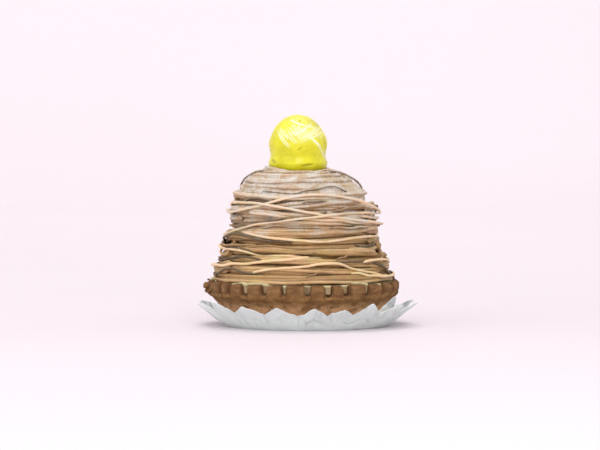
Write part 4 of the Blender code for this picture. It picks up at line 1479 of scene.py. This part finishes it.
def landing(trees, start, towards):
    """Where something let go at a point first touches a piece, as (spot, normal), or None."""
    hits = [tree.ray_cast(Vector(start), Vector(towards)) for tree in trees]
    hits = [hit for hit in hits if hit[0] is not None]
    if not hits:
        return None
    spot, normal, _, _ = min(hits, key=lambda hit: hit[3])
    return np.array(spot), np.array(normal)


def scattered(blocks, faces):
    """The points of all blocks in one list, and one block's faces over again for each."""
    size = len(blocks[0])
    every = [[corner + size * i for corner in face] for i in range(len(blocks)) for face in faces]
    return np.vstack(blocks), every


def fine_sugar(look, mound, pieces):
    """Loose grains of sugar lying on the upper strands."""
    trees = trees_of(pieces)
    rng = np.random.default_rng(SUGAR_SEED)
    octahedron = np.array([(1, 0, 0), (-1, 0, 0), (0, 1, 0), (0, -1, 0), (0, 0, 1), (0, 0, -1)], float)
    sides = [(0, 2, 4), (2, 1, 4), (1, 3, 4), (3, 0, 4), (2, 0, 5), (1, 2, 5), (3, 1, 5), (0, 3, 5)]
    grains = []
    top = mound.climb_at_radius(SUGAR_END_RADIUS)
    while len(grains) < SUGAR_GRAINS:
        azimuth = rng.uniform(0, TURN)
        climb = top * (1 - abs(rng.normal()) * 0.42)
        if climb < 0.2 * top or rng.random() > mound.radius_at(climb) / mound.radius[0]:
            continue
        start = mound.place(np.array([azimuth]), np.array([climb]), np.array([8 * MM]))[0]
        landed = landing(trees, start[:3] + np.array([0, 0, 3 * MM]), -start[3:] - np.array([0, 0, 0.8]))
        if landed is None or landed[1][2] < 0.15:
            continue
        size = rng.uniform(*GRAIN_RADIUS)
        grain = octahedron * size * rng.uniform(0.6, 1.2, (6, 1))
        tumbled = grain @ np.linalg.qr(rng.normal(size=(3, 3)))[0]
        grains.append(tumbled + landed[0] + landed[1] * size * 0.3)
    return add_piece("fine_sugar", *scattered(grains, sides), look, "chestnut_cream")


def crumb_drops(rng, centre_x):
    """Where each crumb is let go, in which direction, and its radius."""
    drops = []
    for _ in range(RIM_FLAKES):
        azimuth = math.radians(rng.uniform(-98, -70))
        start = around(azimuth, 46 * MM, rng.uniform(13.5, 19.0) * MM, centre_x)
        drops.append((start, -around(azimuth, 1.0, 0.0), rng.uniform(0.5, 1.05) * MM))
    for _ in range(RIM_CRUMBS):
        azimuth = rng.uniform(0, TURN)
        start = around(azimuth, rng.uniform(35.6, 38.2) * MM, 30 * MM, centre_x)
        drops.append((start, np.array([0.0, 0.0, -1.0]), rng.uniform(0.2, 0.5) * MM))
    for _ in range(CASE_CRUMBS):
        azimuth = rng.uniform(0, TURN)
        start = around(azimuth, rng.uniform(38.5, 40.6) * MM, 30 * MM)
        drops.append((start, np.array([0.0, 0.0, -1.0]), rng.uniform(0.25, 0.6) * MM))
    return drops


def crust_crumbs(look, pieces, centre_x):
    """Flakes that stick to the rim's left side, and crumbs on the rim and in the case."""
    trees = trees_of(pieces)
    rng = np.random.default_rng(CRUMB_SEED)
    form = bmesh.new()
    bmesh.ops.create_icosphere(form, subdivisions=2, radius=1.0)
    form.verts.ensure_lookup_table()
    ball = np.array([vertex.co for vertex in form.verts])
    sides = [[vertex.index for vertex in face.verts] for face in form.faces]
    form.free()
    crumbs = []
    for start, towards, size in crumb_drops(rng, centre_x):
        landed = landing(trees, start, towards)
        if landed is None:
            continue
        bumps = 1 + 0.32 * rough(ball + 10 * rng.random(3), 0.8, 109)
        spot, normal = landed
        flake = ball * bumps[:, None] * size * np.array([rng.uniform(0.9, 1.5), 1.0, rng.uniform(0.35, 0.8)])
        tumbled = flake @ np.linalg.qr(rng.normal(size=(3, 3)))[0]
        crumbs.append(tumbled + spot - normal * (tumbled @ normal).min() * CRUMB_SEAT)
    points, faces = scattered(crumbs, sides)
    edge = np.clip(noise(points, 2 * MM, 127), 0, 1)
    return add_piece("crust_crumbs", points, faces, look, "tart_crust", edge=edge)


def floor():
    """A pale floor that curves up into a pale wall far behind."""
    depth = [(-3.0, 0.0), (1.2, 0.0)]
    bend = [(1.2 + 0.8 * math.sin(a), 0.8 - 0.8 * math.cos(a)) for a in np.linspace(0, math.pi / 2, 24)[1:]]
    profile = depth + bend + [(2.0, 3.0)]
    points = np.array([(x, y, z) for x in (-3.0, 3.0) for y, z in profile])
    count = len(profile)
    faces = [(i, i + count, i + count + 1, i + 1) for i in range(count - 1)]
    mesh = make_mesh("floor", points, faces)
    look = Look("floor_finish", roughness=0.8)
    mesh.materials.append(look.finish(look.mottle(0.5, *FLOOR_COLOURS, 2.0)))
    made = put_in("floor", mesh)


def camera():
    data = bpy.data.cameras.new("camera")
    data.sensor_width = SENSOR
    data.lens = SENSOR * VIEW_DISTANCE / VIEW_WIDTH
    data.clip_start = 0.01
    made = put_in("camera", data)
    back = Vector((0, -math.cos(VIEW_ELEVATION), math.sin(VIEW_ELEVATION)))
    made.location = VIEW_CENTRE + back * VIEW_DISTANCE
    made.rotation_euler = (math.pi / 2 - VIEW_ELEVATION, 0, 0)
    bpy.context.scene.camera = made


def area_light(name, place, size, power):
    """A square soft light that points at the cake."""
    data = bpy.data.lights.new(name, "AREA")
    data.size = size
    data.energy = power
    made = put_in(name, data)
    made.location = place
    made.rotation_euler = (VIEW_CENTRE - Vector(place)).to_track_quat("-Z", "Y").to_euler()
    return made


def lights():
    area_light("key_light", (0.10, -0.95, 0.60), 0.5, 4.1)
    area_light("top_light", (-0.35, -0.35, 1.0), 0.6, 1.0)
    area_light("fill_light", (-0.95, -0.85, 0.35), 0.9, 3.0)
    wall = area_light("wall_light", (0.0, 0.9, 2.2), 1.6, 29.0)
    wall.rotation_euler = (math.radians(38), 0, 0)
    world = bpy.data.worlds.new("studio")
    world.use_nodes = True
    world.node_tree.nodes["Background"].inputs["Color"].default_value = (1.0, 0.985, 0.99, 1.0)
    world.node_tree.nodes["Background"].inputs["Strength"].default_value = 0.87
    bpy.context.scene.world = world
    bpy.context.scene.view_settings.view_transform = "Standard"


def main():
    camera()
    lights()
    floor()
    low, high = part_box("tart_shell")
    centre_x = (low.x + high.x) / 2
    cuts = slots()
    baked = crust_look()
    case = foil_case(foil_look())
    crust = tart_crust(baked, cuts, centre_x)
    filling(filling_look(), cuts, centre_x)
    crust_crumbs(baked, [case, crust], centre_x)
    paste = cream_look()
    mound = Mound(centre_x)
    groups = strand_lines(mound)
    low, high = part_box("candied_chestnut")
    chestnut_x = (low.x + high.x) / 2
    pieces = [cream_core(paste, mound)]
    pieces.append(strands("cream_under_rings", under_rings(mound), paste, UNDER_SEED, UNDER_SPACING))
    for i, (name, lines) in enumerate(groups.items()):
        pieces.append(strands(name, bundled(lines, BUNDLE_SEED + i), paste, STRAND_SEED + SEED_STEP * i))
    mound.measure(pieces)
    pieces.append(crown_drift(paste, mound))
    # Threads of near-black paste as painted shade
    shade_lines = threads(mound, SHADE_LINE_THREADS, SHADE_LINE_RADIUS, SHADE_LINE_TONE, WINDING_SEED + 3)
    pieces.append(strands("cream_shade_line_threads", shade_lines, paste, SHADE_LINE_SEED, THREAD_SPACING))
    brown = threads(mound, BROWN_THREADS, BROWN_THREAD_RADIUS, BROWN_TONE, WINDING_SEED + 4)
    brown += shoulder_threads(mound)
    pieces.append(strands("cream_brown_threads", brown, paste, BROWN_SEED, THREAD_SPACING))
    pale = threads(mound, PALE_THREADS, PALE_THREAD_RADIUS, PALE_TONE, WINDING_SEED + 2)
    pieces.append(strands("cream_pale_threads", pale, paste, PALE_SEED, THREAD_SPACING))
    lips = bundled([(nest(chestnut_x), True)], LIP_BUNDLE_SEED, LIP_REACH, LIP_RADII)
    lips.append(Strand(foot_turn(centre_x), True, FOOT_TURN_RADIUS, FOOT_TONE))
    pieces.append(strands("cream_lips", lips, paste, LIP_SEED, THREAD_SPACING, LIP_NICK_GAP))
    fine_sugar(sugar_look(), mound, pieces)
    candied_chestnut(chestnut_look(), chestnut_x)


main()
